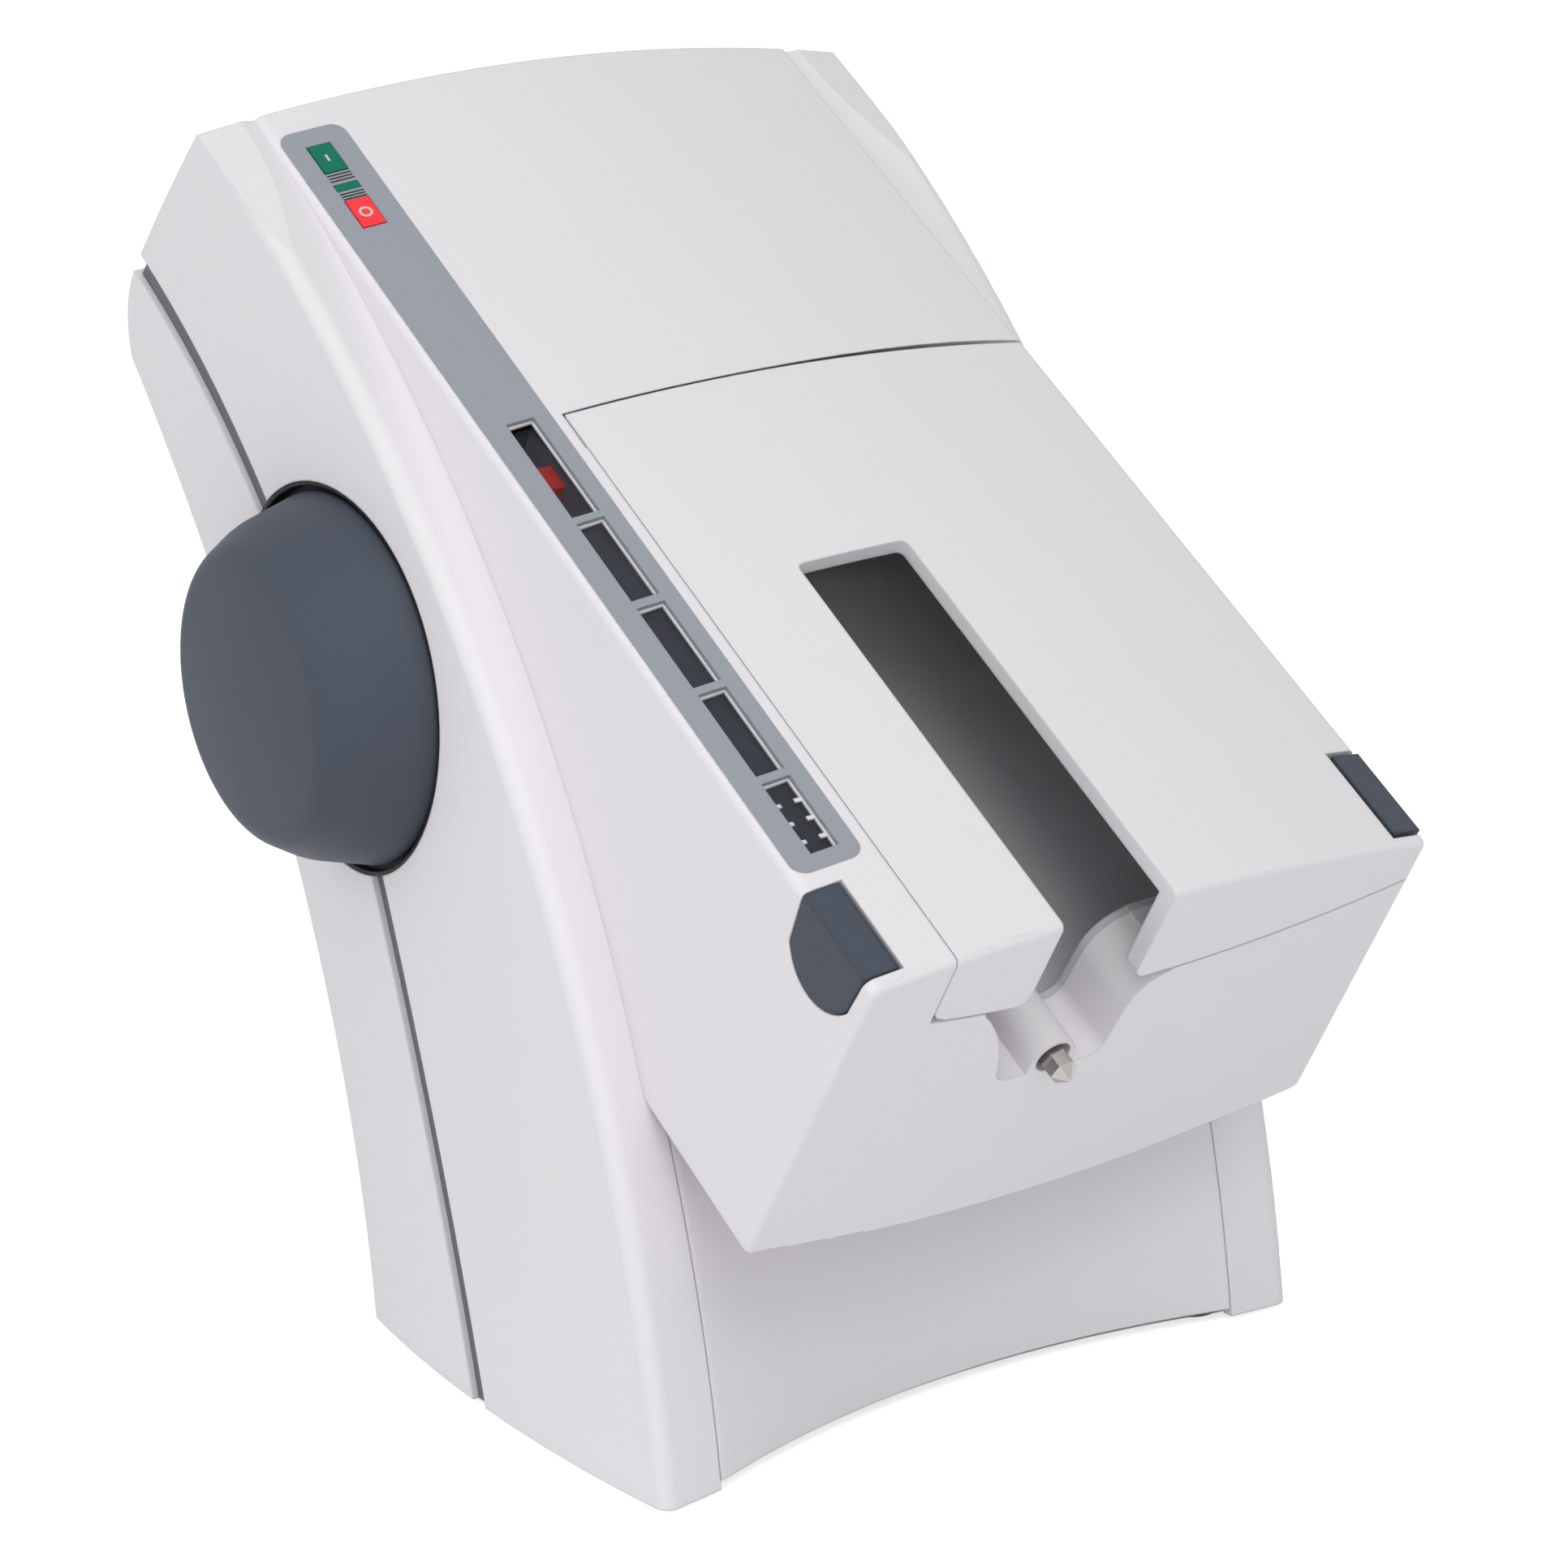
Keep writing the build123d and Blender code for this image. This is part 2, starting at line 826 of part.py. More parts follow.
# Front housing: legs, sides, head and top
with BuildPart() as front_housing:
    add(outer_form.part)
    add(inner_form.part, mode=Mode.SUBTRACT)
    add(under_floor.part, mode=Mode.SUBTRACT)
    add(behind_strip(0), mode=Mode.SUBTRACT)
    add(panel_space(0), mode=Mode.SUBTRACT)
    add(over_seam(-lid_gap, (lid_left, 110), (-10, lid_split)), mode=Mode.SUBTRACT)
    with BuildPart(mode=Mode.PRIVATE) as bay_hole:
        add(block((lid_left, bay_right), (front_block, bay_rear), (bay_floor - bay_wall, 30)))
        add(head_prism(head_wall), mode=Mode.INTERSECT)
    add(bay_hole.part, mode=Mode.SUBTRACT)
    add(hinge_sweep(hinge_clear), mode=Mode.SUBTRACT)
    add(trough_space.part, mode=Mode.SUBTRACT)
    add(tube(mix_across, mix_out, (-1, front_block + 1), mix_bore), mode=Mode.SUBTRACT)
    for across in (big_across, small_across):
        bore = tube(across, disc_out, (bay_rear - 1, bay_rear + well_wall + 1), rod_radius + 3.0)
        add(bore, mode=Mode.SUBTRACT)
    bore = tube(mix_across, mix_out, (bay_rear - 1, bay_rear + well_wall + 1), mix_radius + 3.0)
    add(bore, mode=Mode.SUBTRACT)
    add(knob_space.part, mode=Mode.SUBTRACT)
    for side in (-1, 1):
        button_pocket = button_space(side, button_gap)
        add(button_pocket, mode=Mode.SUBTRACT)
        pressed = button_pocket.moved(Location((-side * button_travel, 0, 0)))
        add(pressed, mode=Mode.SUBTRACT)
    with BuildPart(mode=Mode.PRIVATE) as scale_pocket:
        add(scale_outline.part)
        layer = crown_layer(-5, scale_thick, (-95, -55), (20, 330))
        add(layer, mode=Mode.INTERSECT)
    add(scale_pocket.part, mode=Mode.SUBTRACT)
    add(window_wells.part, mode=Mode.SUBTRACT)
    add(crown_layer(pane_depth, head_wall + 0.5, *pane_limits), mode=Mode.SUBTRACT)
    add(key_holes.part, mode=Mode.SUBTRACT)
    for place in comb_places:
        for side in (-1, 1):
            edge = window_left if side < 0 else window_right
            tip = edge - side * comb_length
            reach = (min(tip, edge), max(tip, edge))
            wide = (place - comb_width / 2, place + comb_width / 2)
            lift = crown((tip + edge) / 2)
            add(block(reach, wide, (lift - pane_depth + 0.2, lift - scale_thick - 0.1)))
    for place in front_bosses:
        with BuildPart(mode=Mode.PRIVATE) as boss:
            add(pillar(place, (base_top, boss_top), boss_radius))
            add(wide_body(0.5), mode=Mode.INTERSECT)
        add(boss.part)
        add(pillar(place, (base_top - 1, boss_top - 6), screw_radius), mode=Mode.SUBTRACT)
    for along in key_board_ends:
        with BuildPart(mode=Mode.PRIVATE) as post:
            add(peg((window_middle, along), (key_board_out, 0), 2.5))
            add(head_prism(scale_thick + 0.6), mode=Mode.INTERSECT)
        add(post.part)
finish(front_housing.part, "front_housing")

# Rear housing
with BuildPart() as inlet_hole:
    with BuildSketch(ground(inlet_height - inlet_half_height)):
        with Locations((inlet_across, inlet_face - 10)):
            Rectangle(2 * inlet_half_width, 40)
    extrude(amount=2 * inlet_half_height)

with BuildPart() as rear_housing:
    add(wide_body(0))
    add(wide_body(shell_wall), mode=Mode.SUBTRACT)
    add(under_floor.part, mode=Mode.SUBTRACT)
    add(behind_strip(band_width), mode=Mode.INTERSECT)
    add(knob_space.part, mode=Mode.SUBTRACT)
    add(inlet_hole.part, mode=Mode.SUBTRACT)
    for place in rear_bosses:
        with BuildPart(mode=Mode.PRIVATE) as boss:
            add(pillar(place, (base_top, boss_top), boss_radius))
            add(wide_body(0.5), mode=Mode.INTERSECT)
        add(boss.part)
        add(pillar(place, (base_top - 1, boss_top - 6), screw_radius), mode=Mode.SUBTRACT)
finish(rear_housing.part, "rear_housing")

# Dark strip let in between the shells
with BuildPart() as accent_band:
    add(wide_body(band_recess))
    add(wide_body(band_recess + band_thick), mode=Mode.SUBTRACT)
    add(under_floor.part, mode=Mode.SUBTRACT)
    add(behind_strip(0), mode=Mode.INTERSECT)
    add(behind_strip(band_width), mode=Mode.SUBTRACT)
    add(knob_space.part, mode=Mode.SUBTRACT)
finish(accent_band.part, "accent_band")

# Panel between the legs
with BuildPart() as base_front_panel:
    add(wide_body(0))
    add(wide_body(shell_wall), mode=Mode.SUBTRACT)
    add(under_panel.part, mode=Mode.SUBTRACT)
    add(panel_space(panel_gap), mode=Mode.INTERSECT)
finish(base_front_panel.part, "base_front_panel")

# Base plate with its feet and screws
with BuildPart() as base_plate:
    add(wide_body(band_recess + band_thick + 0.2))
    with BuildSketch(ground(floor_gap)):
        Rectangle(400, 400)
    extrude(amount=base_thick, mode=Mode.INTERSECT)
    for place in foot_places:
        hole = pillar(place, (floor_gap - 1, floor_gap + foot_sink), foot_radius)
        add(hole, mode=Mode.SUBTRACT)
    for place in front_bosses + rear_bosses:
        add(pillar(place, (floor_gap - 1, base_top + 1), screw_radius), mode=Mode.SUBTRACT)
        add(pillar(place, (floor_gap - 1, floor_gap + 1.2), 2 * screw_radius), mode=Mode.SUBTRACT)
    for place in board_posts:
        add(pillar(place, (base_top, board_height), 3.0, 1.0))
finish(base_plate.part, "base_plate")

for number, place in enumerate(foot_places):
    with BuildPart() as foot:
        add(pillar(place, (0, floor_gap + foot_sink), foot_radius))
        low_rim = foot.edges().group_by(Axis.Z)[0]
        fillet(low_rim, radius=0.6)
    finish(foot.part, f"foot_{number + 1}")

with BuildPart() as base_screws:
    for place in front_bosses + rear_bosses:
        add(pillar(place, (floor_gap, floor_gap + 1.2), 2 * screw_radius))
        add(pillar(place, (floor_gap + 1.2, boss_top - 8), screw_radius))
finish(base_screws.part, "base_screws")

# Lid over the bay, with the slot for the mixing tip
with BuildPart() as lid:
    add(outer_form.part)
    space = over_seam(lid_gap, (lid_left + lid_gap, 110), (-10, hinge_along + lid_heel))
    add(space, mode=Mode.INTERSECT)
    lid_inner = lid_left + lid_gap + lid_wall
    with BuildPart(mode=Mode.PRIVATE) as lid_hollow:
        add(head_prism(lid_wall))
        add(block((lid_inner, 110), (lid_front, 260), (-60, 20)), mode=Mode.INTERSECT)
        rim_across = (slot_left - rim_thick, slot_right + rim_thick)
        rim = crown_layer(0, slot_rim, rim_across, (0, slot_length + rim_thick))
        add(rim, mode=Mode.SUBTRACT)
    add(lid_hollow.part, mode=Mode.SUBTRACT)
    with BuildSketch(flat(-60)) as slot_sketch:
        with Locations(((slot_left + slot_right) / 2, slot_length / 2 - 10)):
            Rectangle(slot_right - slot_left, slot_length + 20)
        fillet(slot_sketch.vertices().group_by(Axis.Y)[-1], radius=slot_corner)
    extrude(amount=80, mode=Mode.SUBTRACT)
    for across, side in ((slot_left, -1), (slot_right, 1), (lid_left + lid_gap, 1)):
        edge_out = seam(across) + lid_gap
        middle = across + side * lid_corner
        limits = (min(across, middle), max(across, middle))
        with BuildPart(mode=Mode.PRIVATE) as corner:
            add(block(limits, (-1, lid_front), (edge_out - 2, edge_out + lid_corner)))
            pin_ends = (-2, lid_front + 1)
            add(tube(middle, edge_out + lid_corner, pin_ends, lid_corner), mode=Mode.SUBTRACT)
        add(corner.part, mode=Mode.SUBTRACT)
    add(button_space(1, button_gap + button_travel + 0.3), mode=Mode.SUBTRACT)
    for limits in ((lid_left, lid_inner), (head_half_top - lid_wall - 1.0, head_half_low)):
        edge_out = max(seam(limits[0]), seam(limits[1])) + lid_gap
        with BuildPart(mode=Mode.PRIVATE) as heel:
            add(block(limits, (hinge_along, hinge_along + 2 * lid_heel), (edge_out - 5.0, hinge_out)))
            add(axle(hinge_along, hinge_out, limits, hinge_out - edge_out), mode=Mode.SUBTRACT)
        add(heel.part, mode=Mode.SUBTRACT)
    for side in (-1, 1):
        middle = hinge_spacing * side
        ends = (middle - hinge_width / 2, middle + hinge_width / 2)
        add(axle(hinge_along, hinge_out, ends, hinge_knuckle))
        web = block(
            ends,
            (hinge_along - hinge_knuckle, hinge_along + hinge_knuckle),
            (hinge_out, crown(hinge_spacing + hinge_width, lid_wall) + 0.6),
        )
        add(web)
        bore_ends = (ends[0] - 1, ends[1] + 1)
        bore = axle(hinge_along, hinge_out, bore_ends, hinge_pin_radius + running)
        add(bore, mode=Mode.SUBTRACT)
finish(lid.part, "lid")

# Hinge brackets on the bay's rear wall, each with its pin
for side, word in ((-1, "left"), (1, "right")):
    inner = side * (hinge_spacing - hinge_width / 2 - lid_gap)
    far = side * (hinge_spacing - 1.5 * hinge_width - lid_gap)
    ends = (min(inner, far), max(inner, far))
    low = hinge_out - hinge_knuckle - 8.0
    with BuildPart() as bracket:
        with BuildSketch(flank(ends[0])):
            with BuildLine():
                Polyline(
                    (hinge_along - hinge_knuckle, hinge_out),
                    (hinge_along - hinge_knuckle, low),
                    (bay_rear, low),
                    (bay_rear, low + 4),
                    (hinge_along + hinge_knuckle, low + 4),
                    (hinge_along + hinge_knuckle, hinge_out),
                )
                ThreePointArc(
                    (hinge_along + hinge_knuckle, hinge_out),
                    (hinge_along, hinge_out + hinge_knuckle),
                    (hinge_along - hinge_knuckle, hinge_out),
                )
            make_face()
            with Locations((hinge_along, hinge_out)):
                Circle(hinge_pin_radius, mode=Mode.SUBTRACT)
        extrude(amount=ends[1] - ends[0])
    finish(bracket.part, f"hinge_bracket_{word}")
    outer = side * (hinge_spacing + hinge_width / 2 + 0.5)
    pin_ends = (min(outer, far), max(outer, far))
    with BuildPart() as pin:
        add(axle(hinge_along, hinge_out, pin_ends, hinge_pin_radius))
    finish(pin.part, f"hinge_pin_{word}")

# Dark liner of the bay
with BuildPart() as bay_liner:
    add(block((lid_left, bay_right), (front_block, bay_rear), (bay_floor - bay_wall, 0)))
    add(over_seam(-1.5 * lid_gap, (lid_left - 1, 110), (0, 260)), mode=Mode.SUBTRACT)
    add(bay_space((front_block + bay_wall, bay_rear - bay_wall), 20), mode=Mode.SUBTRACT)
    front_cut = trough_space.part.moved(Location(up_slope * (bay_wall + 1)))
    add(front_cut, mode=Mode.SUBTRACT)
    bore = tube(mix_across, mix_out, (front_block - 1, bay_rear + 1), mix_bore)
    add(bore, mode=Mode.SUBTRACT)
    for across in (big_across, small_across):
        bore = tube(across, disc_out, (bay_rear - 5, bay_rear + 1), rod_radius + 3.0)
        add(bore, mode=Mode.SUBTRACT)
finish(bay_liner.part, "bay_liner")

# Knob, its dish and its shaft
knob_plane = Plane(
    origin=head_place(0, knob_along, knob_out), x_dir=(-1, 0, 0), z_dir=(0, 1, 0)
)
with BuildPart() as knob:
    with BuildSketch(knob_plane) as knob_sketch:
        with BuildLine():
            Polyline(
                (knob_foot, 0),
                (knob_foot, knob_rim - 1.0),
                (knob_foot + 1.0, knob_rim),
                (knob_face - 11.0, knob_end + 5.6),
                (knob_face, knob_end - 1.0),
            )
            ThreePointArc(
                (knob_face, knob_end - 1.0),
                (knob_dome - 0.8, knob_end / 2),
                (knob_dome, 0),
            )
            Line((knob_dome, 0), (knob_foot, 0))
        make_face()
    revolve(axis=Axis(knob_plane.origin, (-1, 0, 0)))
    turn = knob.edges().filter_by(GeomType.CIRCLE)
    soft = turn.filter_by(lambda e: abs(e.radius - knob_end - 5.6) < 0.1)
    fillet(soft, radius=3 * knob_edge)
    turn = knob.edges().filter_by(GeomType.CIRCLE)
    soft = turn.filter_by(lambda e: abs(e.radius - knob_end + 1.0) < 0.1)
    fillet(soft, radius=knob_edge)
    ring = axle(knob_along, knob_out, (-knob_foot - 20.0, -knob_foot + 1), knob_rim - 9.0, 12.0)
    add(ring, mode=Mode.SUBTRACT)
    bore = axle(knob_along, knob_out, (-knob_foot - 22.0, -knob_foot + 1), knob_shaft_radius)
    add(bore, mode=Mode.SUBTRACT)
finish(knob.part, "knob")

dish_inner = -dish_floor + dish_thick
with BuildPart() as knob_dish:
    add(axle(knob_along, knob_out, (-dish_floor - 8.0, dish_inner), dish_radius))
    add(wide_body(0.3), mode=Mode.INTERSECT)
    hollow = axle(knob_along, knob_out, (-dish_floor - 10.0, -dish_floor), dish_radius - 1.2)
    add(hollow, mode=Mode.SUBTRACT)
    bore = axle(knob_along, knob_out, (-dish_floor - 1, dish_inner + 1), knob_shaft_radius + 2.0)
    add(bore, mode=Mode.SUBTRACT)
finish(knob_dish.part, "knob_dish")

advance_gear_from = plate_right + plate_thick + 3.0
gear_thick = 6.0
with BuildPart() as knob_shaft:
    shaft_ends = (-knob_foot - 22.0, advance_gear_from + gear_thick + 1.5)
    add(axle(knob_along, knob_out, shaft_ends, knob_shaft_radius))
    chamfer(knob_shaft.edges().filter_by(GeomType.CIRCLE), length=0.6)
finish(knob_shaft.part, "knob_shaft")

for across, word in ((plate_left, "left"), (plate_right, "right")):
    with BuildPart() as bush:
        ends = (across - 1.2, across + plate_thick + 1.2)
        add(axle(knob_along, knob_out, ends, knob_shaft_radius + 3.0, knob_shaft_radius + running))
    finish(bush.part, f"knob_bush_{word}")

for across, word in ((small_across, "left"), (big_across, "right")):
    face = turning_face(across - rack_width / 2, knob_along, knob_out)
    pinion = gear(face, pinion_teeth, module, rack_width, knob_shaft_radius, turned=90.0)
    finish(pinion, f"rack_pinion_{word}")

face = turning_face(advance_gear_from, knob_along, knob_out)
wheel = gear(
    face, advance_teeth, advance_module, gear_thick, knob_shaft_radius, advance_angle, slack=0.3
)
finish(wheel, "advance_gear")

face = turning_face(advance_gear_from, advance_along, advance_out)
half_tooth = 180.0 / advance_pinion_teeth
with BuildPart() as advance_pinion:
    toothed = gear(
        face,
        advance_pinion_teeth,
        advance_module,
        gear_thick,
        1.0,
        advance_angle + 180.0 + half_tooth,
        slack=0.3,
    )
    add(toothed)
    add(axle(advance_along, advance_out, (plate_right - 4.0, advance_gear_from + gear_thick), 2.5))
finish(advance_pinion.part, "advance_pinion")

with BuildPart() as advance_motor:
    motor_ends = (plate_right - 58.0, plate_right)
    add(axle(advance_along, advance_out, motor_ends, 13.0))
    add(axle(advance_along, advance_out, (plate_right - 18.0, plate_right), 13.4))
    hole_ends = (plate_right - 5.0, plate_right + 1)
    add(axle(advance_along, advance_out, hole_ends, 2.5 + running), mode=Mode.SUBTRACT)
finish(advance_motor.part, "advance_motor")


def rack_outline(front, rear):
    """Rack seen from the side, with teeth facing the pinion below it."""
    pitch = math.pi * module
    tip = rack_pitch - 0.9 * module
    root = rack_pitch + 1.2 * module
    lean = math.tan(20 * radian)
    half = pitch / 4 - mesh_slack / 2
    points = [(rear, rack_top), (front, rack_top), (front, root)]
    first = math.ceil((front + half + 2.0 - knob_along) / pitch - 0.5)
    last = math.floor((rear - half - 2.0 - knob_along) / pitch - 0.5)
    for step in range(first, last + 1):
        middle = knob_along + (step + 0.5) * pitch
        points += [
            (middle - half - lean * (root - rack_pitch), root),
            (middle - half + lean * (rack_pitch - tip), tip),
            (middle + half - lean * (rack_pitch - tip), tip),
            (middle + half + lean * (root - rack_pitch), root),
        ]
    points.append((rear, root))
    return points


# Carriage: racks, beam, rods and push discs
beam_rear = beam_along + beam_thick
beam_top = disc_out + 6.0
for across, word in ((small_across, "left"), (big_across, "right")):
    with BuildPart() as rack:
        with BuildSketch(flank(across - rack_width / 2)):
            with BuildLine():
                Polyline(*rack_outline(rack_front, beam_rear), close=True)
            make_face()
        extrude(amount=rack_width)
    finish(rack.part, f"rack_{word}")
    with BuildPart() as rod:
        add(tube(across, disc_out, (rod_start, beam_along), rod_radius))
    finish(rod.part, f"push_rod_{word}")
    with BuildPart() as bush:
        add(tube(across, disc_out, (bay_rear - 4.0, bush_face), rod_radius + 3.0, rod_radius + running))
    finish(bush.part, f"rod_bush_{word}")

with BuildPart() as crosshead:
    left_end = pointer_across - 4.0
    add(block((left_end, big_across + 8.0), (beam_along, beam_rear), (disc_out - 6.0, beam_top)))
    for across in (small_across, big_across):
        leg = block(
            (across - 6.0, across + 6.0), (beam_along, beam_rear), (rack_top, disc_out - 6.0)
        )
        add(leg)
finish(crosshead.part, "crosshead")

for across, radius, word in ((big_across, big_disc, "large"), (small_across, small_disc, "small")):
    with BuildPart() as disc:
        add(tube(across, disc_out, (disc_start, rod_start), radius))
        rims = disc.edges().filter_by(GeomType.CIRCLE)
        chamfer(rims, length=1.0)
    finish(disc.part, f"push_disc_{word}")

with BuildPart() as pointer_rod:
    add(tube(pointer_across, disc_out + 4.0, (disc_start, beam_along), 2.0))
finish(pointer_rod.part, "pointer_rod")

with BuildPart() as pointer:
    flag = block(
        (pointer_across - 2.5, pointer_across + 2.5),
        (disc_start + 0.5, disc_start + 8.5),
        (disc_out + 0.5, pointer_out),
    )
    add(flag)
    bore = tube(pointer_across, disc_out + 4.0, (disc_start - 1, disc_start + 10), 2.0)
    add(bore, mode=Mode.SUBTRACT)
finish(pointer.part, "pointer")

# Mixing shaft, its bushes and its drive
with BuildPart() as mix_shaft:
    add(tube(mix_across, mix_out, (hex_length - mix_reach, mix_rear), mix_radius))
    with BuildSketch(cross(hex_point - mix_reach)):
        with Locations((mix_across, mix_out)):
            RegularPolygon(hex_size / 2, 6, major_radius=False, rotation=12)
    extrude(amount=hex_point - hex_length)
    with BuildSketch(cross(hex_point - mix_reach)):
        with Locations((mix_across, mix_out)):
            RegularPolygon(hex_size / 2, 6, major_radius=False, rotation=12)
    with BuildSketch(cross(-mix_reach)):
        with Locations((mix_across, mix_out)):
            RegularPolygon(0.4, 6, major_radius=False, rotation=12)
    loft(ruled=True)
finish(mix_shaft.part, "mix_shaft")

with BuildPart() as mix_bush_front:
    ends = (hex_length - mix_reach + 1.0, front_block - 0.5)
    add(tube(mix_across, mix_out, ends, mix_bore, mix_radius + running))
finish(mix_bush_front.part, "mix_bush_front")

with BuildPart() as mix_bush_rear:
    ends = (bay_rear - 0.0, bush_face)
    add(tube(mix_across, mix_out, ends, mix_radius + 3.0, mix_radius + running))
finish(mix_bush_rear.part, "mix_bush_rear")

face = spinning_face(mix_across, spin_front + gear_thick, mix_out)
wheel = gear(face, mix_gear_teeth, mix_module, gear_thick, mix_radius, -90.0, slack=0.3)
finish(wheel, "mix_gear")

face = spinning_face(mix_across, spin_front + gear_thick, mix_motor_out)
with BuildPart() as mix_pinion:
    toothed = gear(
        face, mix_pinion_teeth, mix_module, gear_thick, 1.0, 90.0 + 180.0 / mix_pinion_teeth, slack=0.3
    )
    add(toothed)
    add(tube(mix_across, mix_motor_out, (spin_front, mix_motor_from + 4.0), 2.5))
finish(mix_pinion.part, "mix_pinion")

with BuildPart() as mix_motor:
    add(tube(mix_across, mix_motor_out, (mix_motor_from, mix_motor_from + 52.0), 14.0))
    add(tube(mix_across, mix_motor_out, (mix_motor_from + 52.0, mix_motor_from + 55.0), 5.0))
    hole_ends = (mix_motor_from - 1, mix_motor_from + 5.0)
    add(tube(mix_across, mix_motor_out, hole_ends, 2.5 + running), mode=Mode.SUBTRACT)
finish(mix_motor.part, "mix_motor")

motor_plate_from = mix_motor_from - plate_thick
with BuildPart() as motor_plate:
    with BuildSketch(cross(mix_motor_from)):
        with BuildLine():
            Polyline(
                (mix_across - 16.0, mix_motor_out + 12.0),
                (mix_across + 16.0, mix_motor_out + 12.0),
                (mix_across + 16.0, knob_out - 20.0),
                (plate_right, knob_out - 20.0),
                (plate_right, knob_out - 30.0),
                (plate_left + plate_thick, knob_out - 30.0),
                (plate_left + plate_thick, knob_out - 20.0),
                (mix_across - 16.0, knob_out - 20.0),
                close=True,
            )
        make_face()
        with Locations((mix_across, mix_motor_out)):
            Circle(6.0, mode=Mode.SUBTRACT)
    extrude(amount=plate_thick)
finish(motor_plate.part, "motor_plate")

# Chassis side plates
plate_outline = (
    (36, base_top),
    (148, base_top),
    (168, 130),
    (176, 188),
    (150, 210),
    (118, 205),
    (92, 168),
    (58, 90),
)
for across, word in ((plate_left, "left"), (plate_right, "right")):
    with BuildPart() as plate:
        add(upright(plate_outline, (across, across + plate_thick)))
        foot_side = across - 9.0 if word == "left" else across + plate_thick
        flange = ((40, base_top), (144, base_top), (144, base_top + 2), (40, base_top + 2))
        add(upright(flange, (foot_side, foot_side + 9.0)))
        ends = (across - 1, across + plate_thick + 1)
        add(axle(knob_along, knob_out, ends, knob_shaft_radius + 3.0), mode=Mode.SUBTRACT)
        if word == "right":
            add(axle(advance_along, advance_out, ends, 3.5), mode=Mode.SUBTRACT)
        window = ((66, 40), (130, 40), (146, 118), (96, 118))
        add(upright(window, ends), mode=Mode.SUBTRACT)
    finish(plate.part, f"chassis_{word}")

# Power board with its transformer
board_across = (board_posts[0][0] - 5.0, board_posts[1][0] + 5.0)
board_depth = (board_posts[0][1] - 6.0, board_posts[2][1] + 6.0)
with BuildPart() as power_board:
    with BuildSketch(ground(board_height)):
        with Locations((sum(board_across) / 2, sum(board_depth) / 2)):
            Rectangle(board_across[1] - board_across[0], board_depth[1] - board_depth[0])
        with Locations(*board_posts):
            Circle(1.6, mode=Mode.SUBTRACT)
    extrude(amount=1.6)
finish(power_board.part, "power_board")

with BuildPart() as transformer:
    with BuildSketch(ground(board_height + 1.6)):
        with Locations((-26, 98)):
            Rectangle(40, 48)
    extrude(amount=12)
    with BuildSketch(ground(board_height + 13.6)):
        with Locations((-26, 98)):
            Rectangle(28, 48)
    extrude(amount=16)
    with BuildSketch(ground(board_height + 13.6)):
        with Locations((-26, 98)):
            Rectangle(40, 30)
    extrude(amount=12)
finish(transformer.part, "transformer")

# Mains inlet
with BuildPart() as mains_inlet:
    with BuildSketch(ground(inlet_height - inlet_half_height)):
        with Locations((inlet_across, inlet_face - 9.5)):
            Rectangle(2 * inlet_half_width, 19.0)
    extrude(amount=2 * inlet_half_height)
    face = Plane(
        origin=(mid_x + inlet_across, mid_y + inlet_face, inlet_height), x_dir=(1, 0, 0), z_dir=(0, -1, 0)
    )
    with BuildSketch(face):
        with BuildLine():
            Polyline(
                (-12.0, -8.0), (12.0, -8.0), (12.0, 4.0), (8.0, 8.0), (-8.0, 8.0), (-12.0, 4.0), close=True
            )
        make_face()
    extrude(amount=15.0, mode=Mode.SUBTRACT)
    with BuildSketch(face.offset(15.5)):
        with Locations((0, 2.0)):
            Rectangle(2.0, 4.0)
        with Locations((-7.0, -2.0), (7.0, -2.0)):
            Rectangle(2.0, 4.0)
    extrude(amount=-12.5)
finish(mains_inlet.part, "mains_inlet")

# Scale strip, its windows' pane, keys and their board
with BuildPart() as scale_strip:
    add(scale_outline.part)
    layer = crown_layer(-0.1, scale_thick, (-95, -55), (20, 330))
    add(layer, mode=Mode.INTERSECT)
    add(window_holes.part, mode=Mode.SUBTRACT)
    add(key_holes.part, mode=Mode.SUBTRACT)
finish(scale_strip.part, "scale_strip")

with BuildPart() as window_pane:
    add(crown_layer(pane_depth, pane_depth + pane_thick, *pane_limits))
finish(window_pane.part, "window_pane")

for ends, name in ((green_key_ends, "green_key"), (red_key_ends, "red_key")):
    with BuildPart() as key:
        cap = block(
            (key_left + key_gap, key_right - key_gap), (ends[0] + key_gap, ends[1] - key_gap), (-10.6, 0)
        )
        add(cap)
        layer = crown_layer(-0.3, 12.0, (-95, -55), (20, 330))
        add(layer, mode=Mode.INTERSECT)
        add(block((key_left - 1.2, key_right + 1.2), (ends[0] - 0.9, ends[1] + 0.9), (-11.0, -10.2)))
        add(peg((window_middle, sum(ends) / 2), (key_board_out + 1.6 + key_travel, -11.0), 1.5))
    finish(key.part, name)

with BuildPart() as status_lens:
    add(block((key_left, key_right), lens_ends, (key_board_out, 0)))
    add(crown_layer(-0.05, 12.0, (-95, -55), (20, 330)), mode=Mode.INTERSECT)
finish(status_lens.part, "status_lens")

with BuildPart() as key_board:
    board_span = (key_board_ends[0] - 3.5, key_board_ends[1] + 3.5)
    add(block((-82.5, -68.0), board_span, (key_board_out - key_board_thick, key_board_out)))
    for ends in (green_key_ends, red_key_ends):
        middle = sum(ends) / 2
        switch = ((window_middle - 3, window_middle + 3), (middle - 3, middle + 3))
        add(block(switch[0], switch[1], (key_board_out, key_board_out + 1.5)))
finish(key_board.part, "key_board")

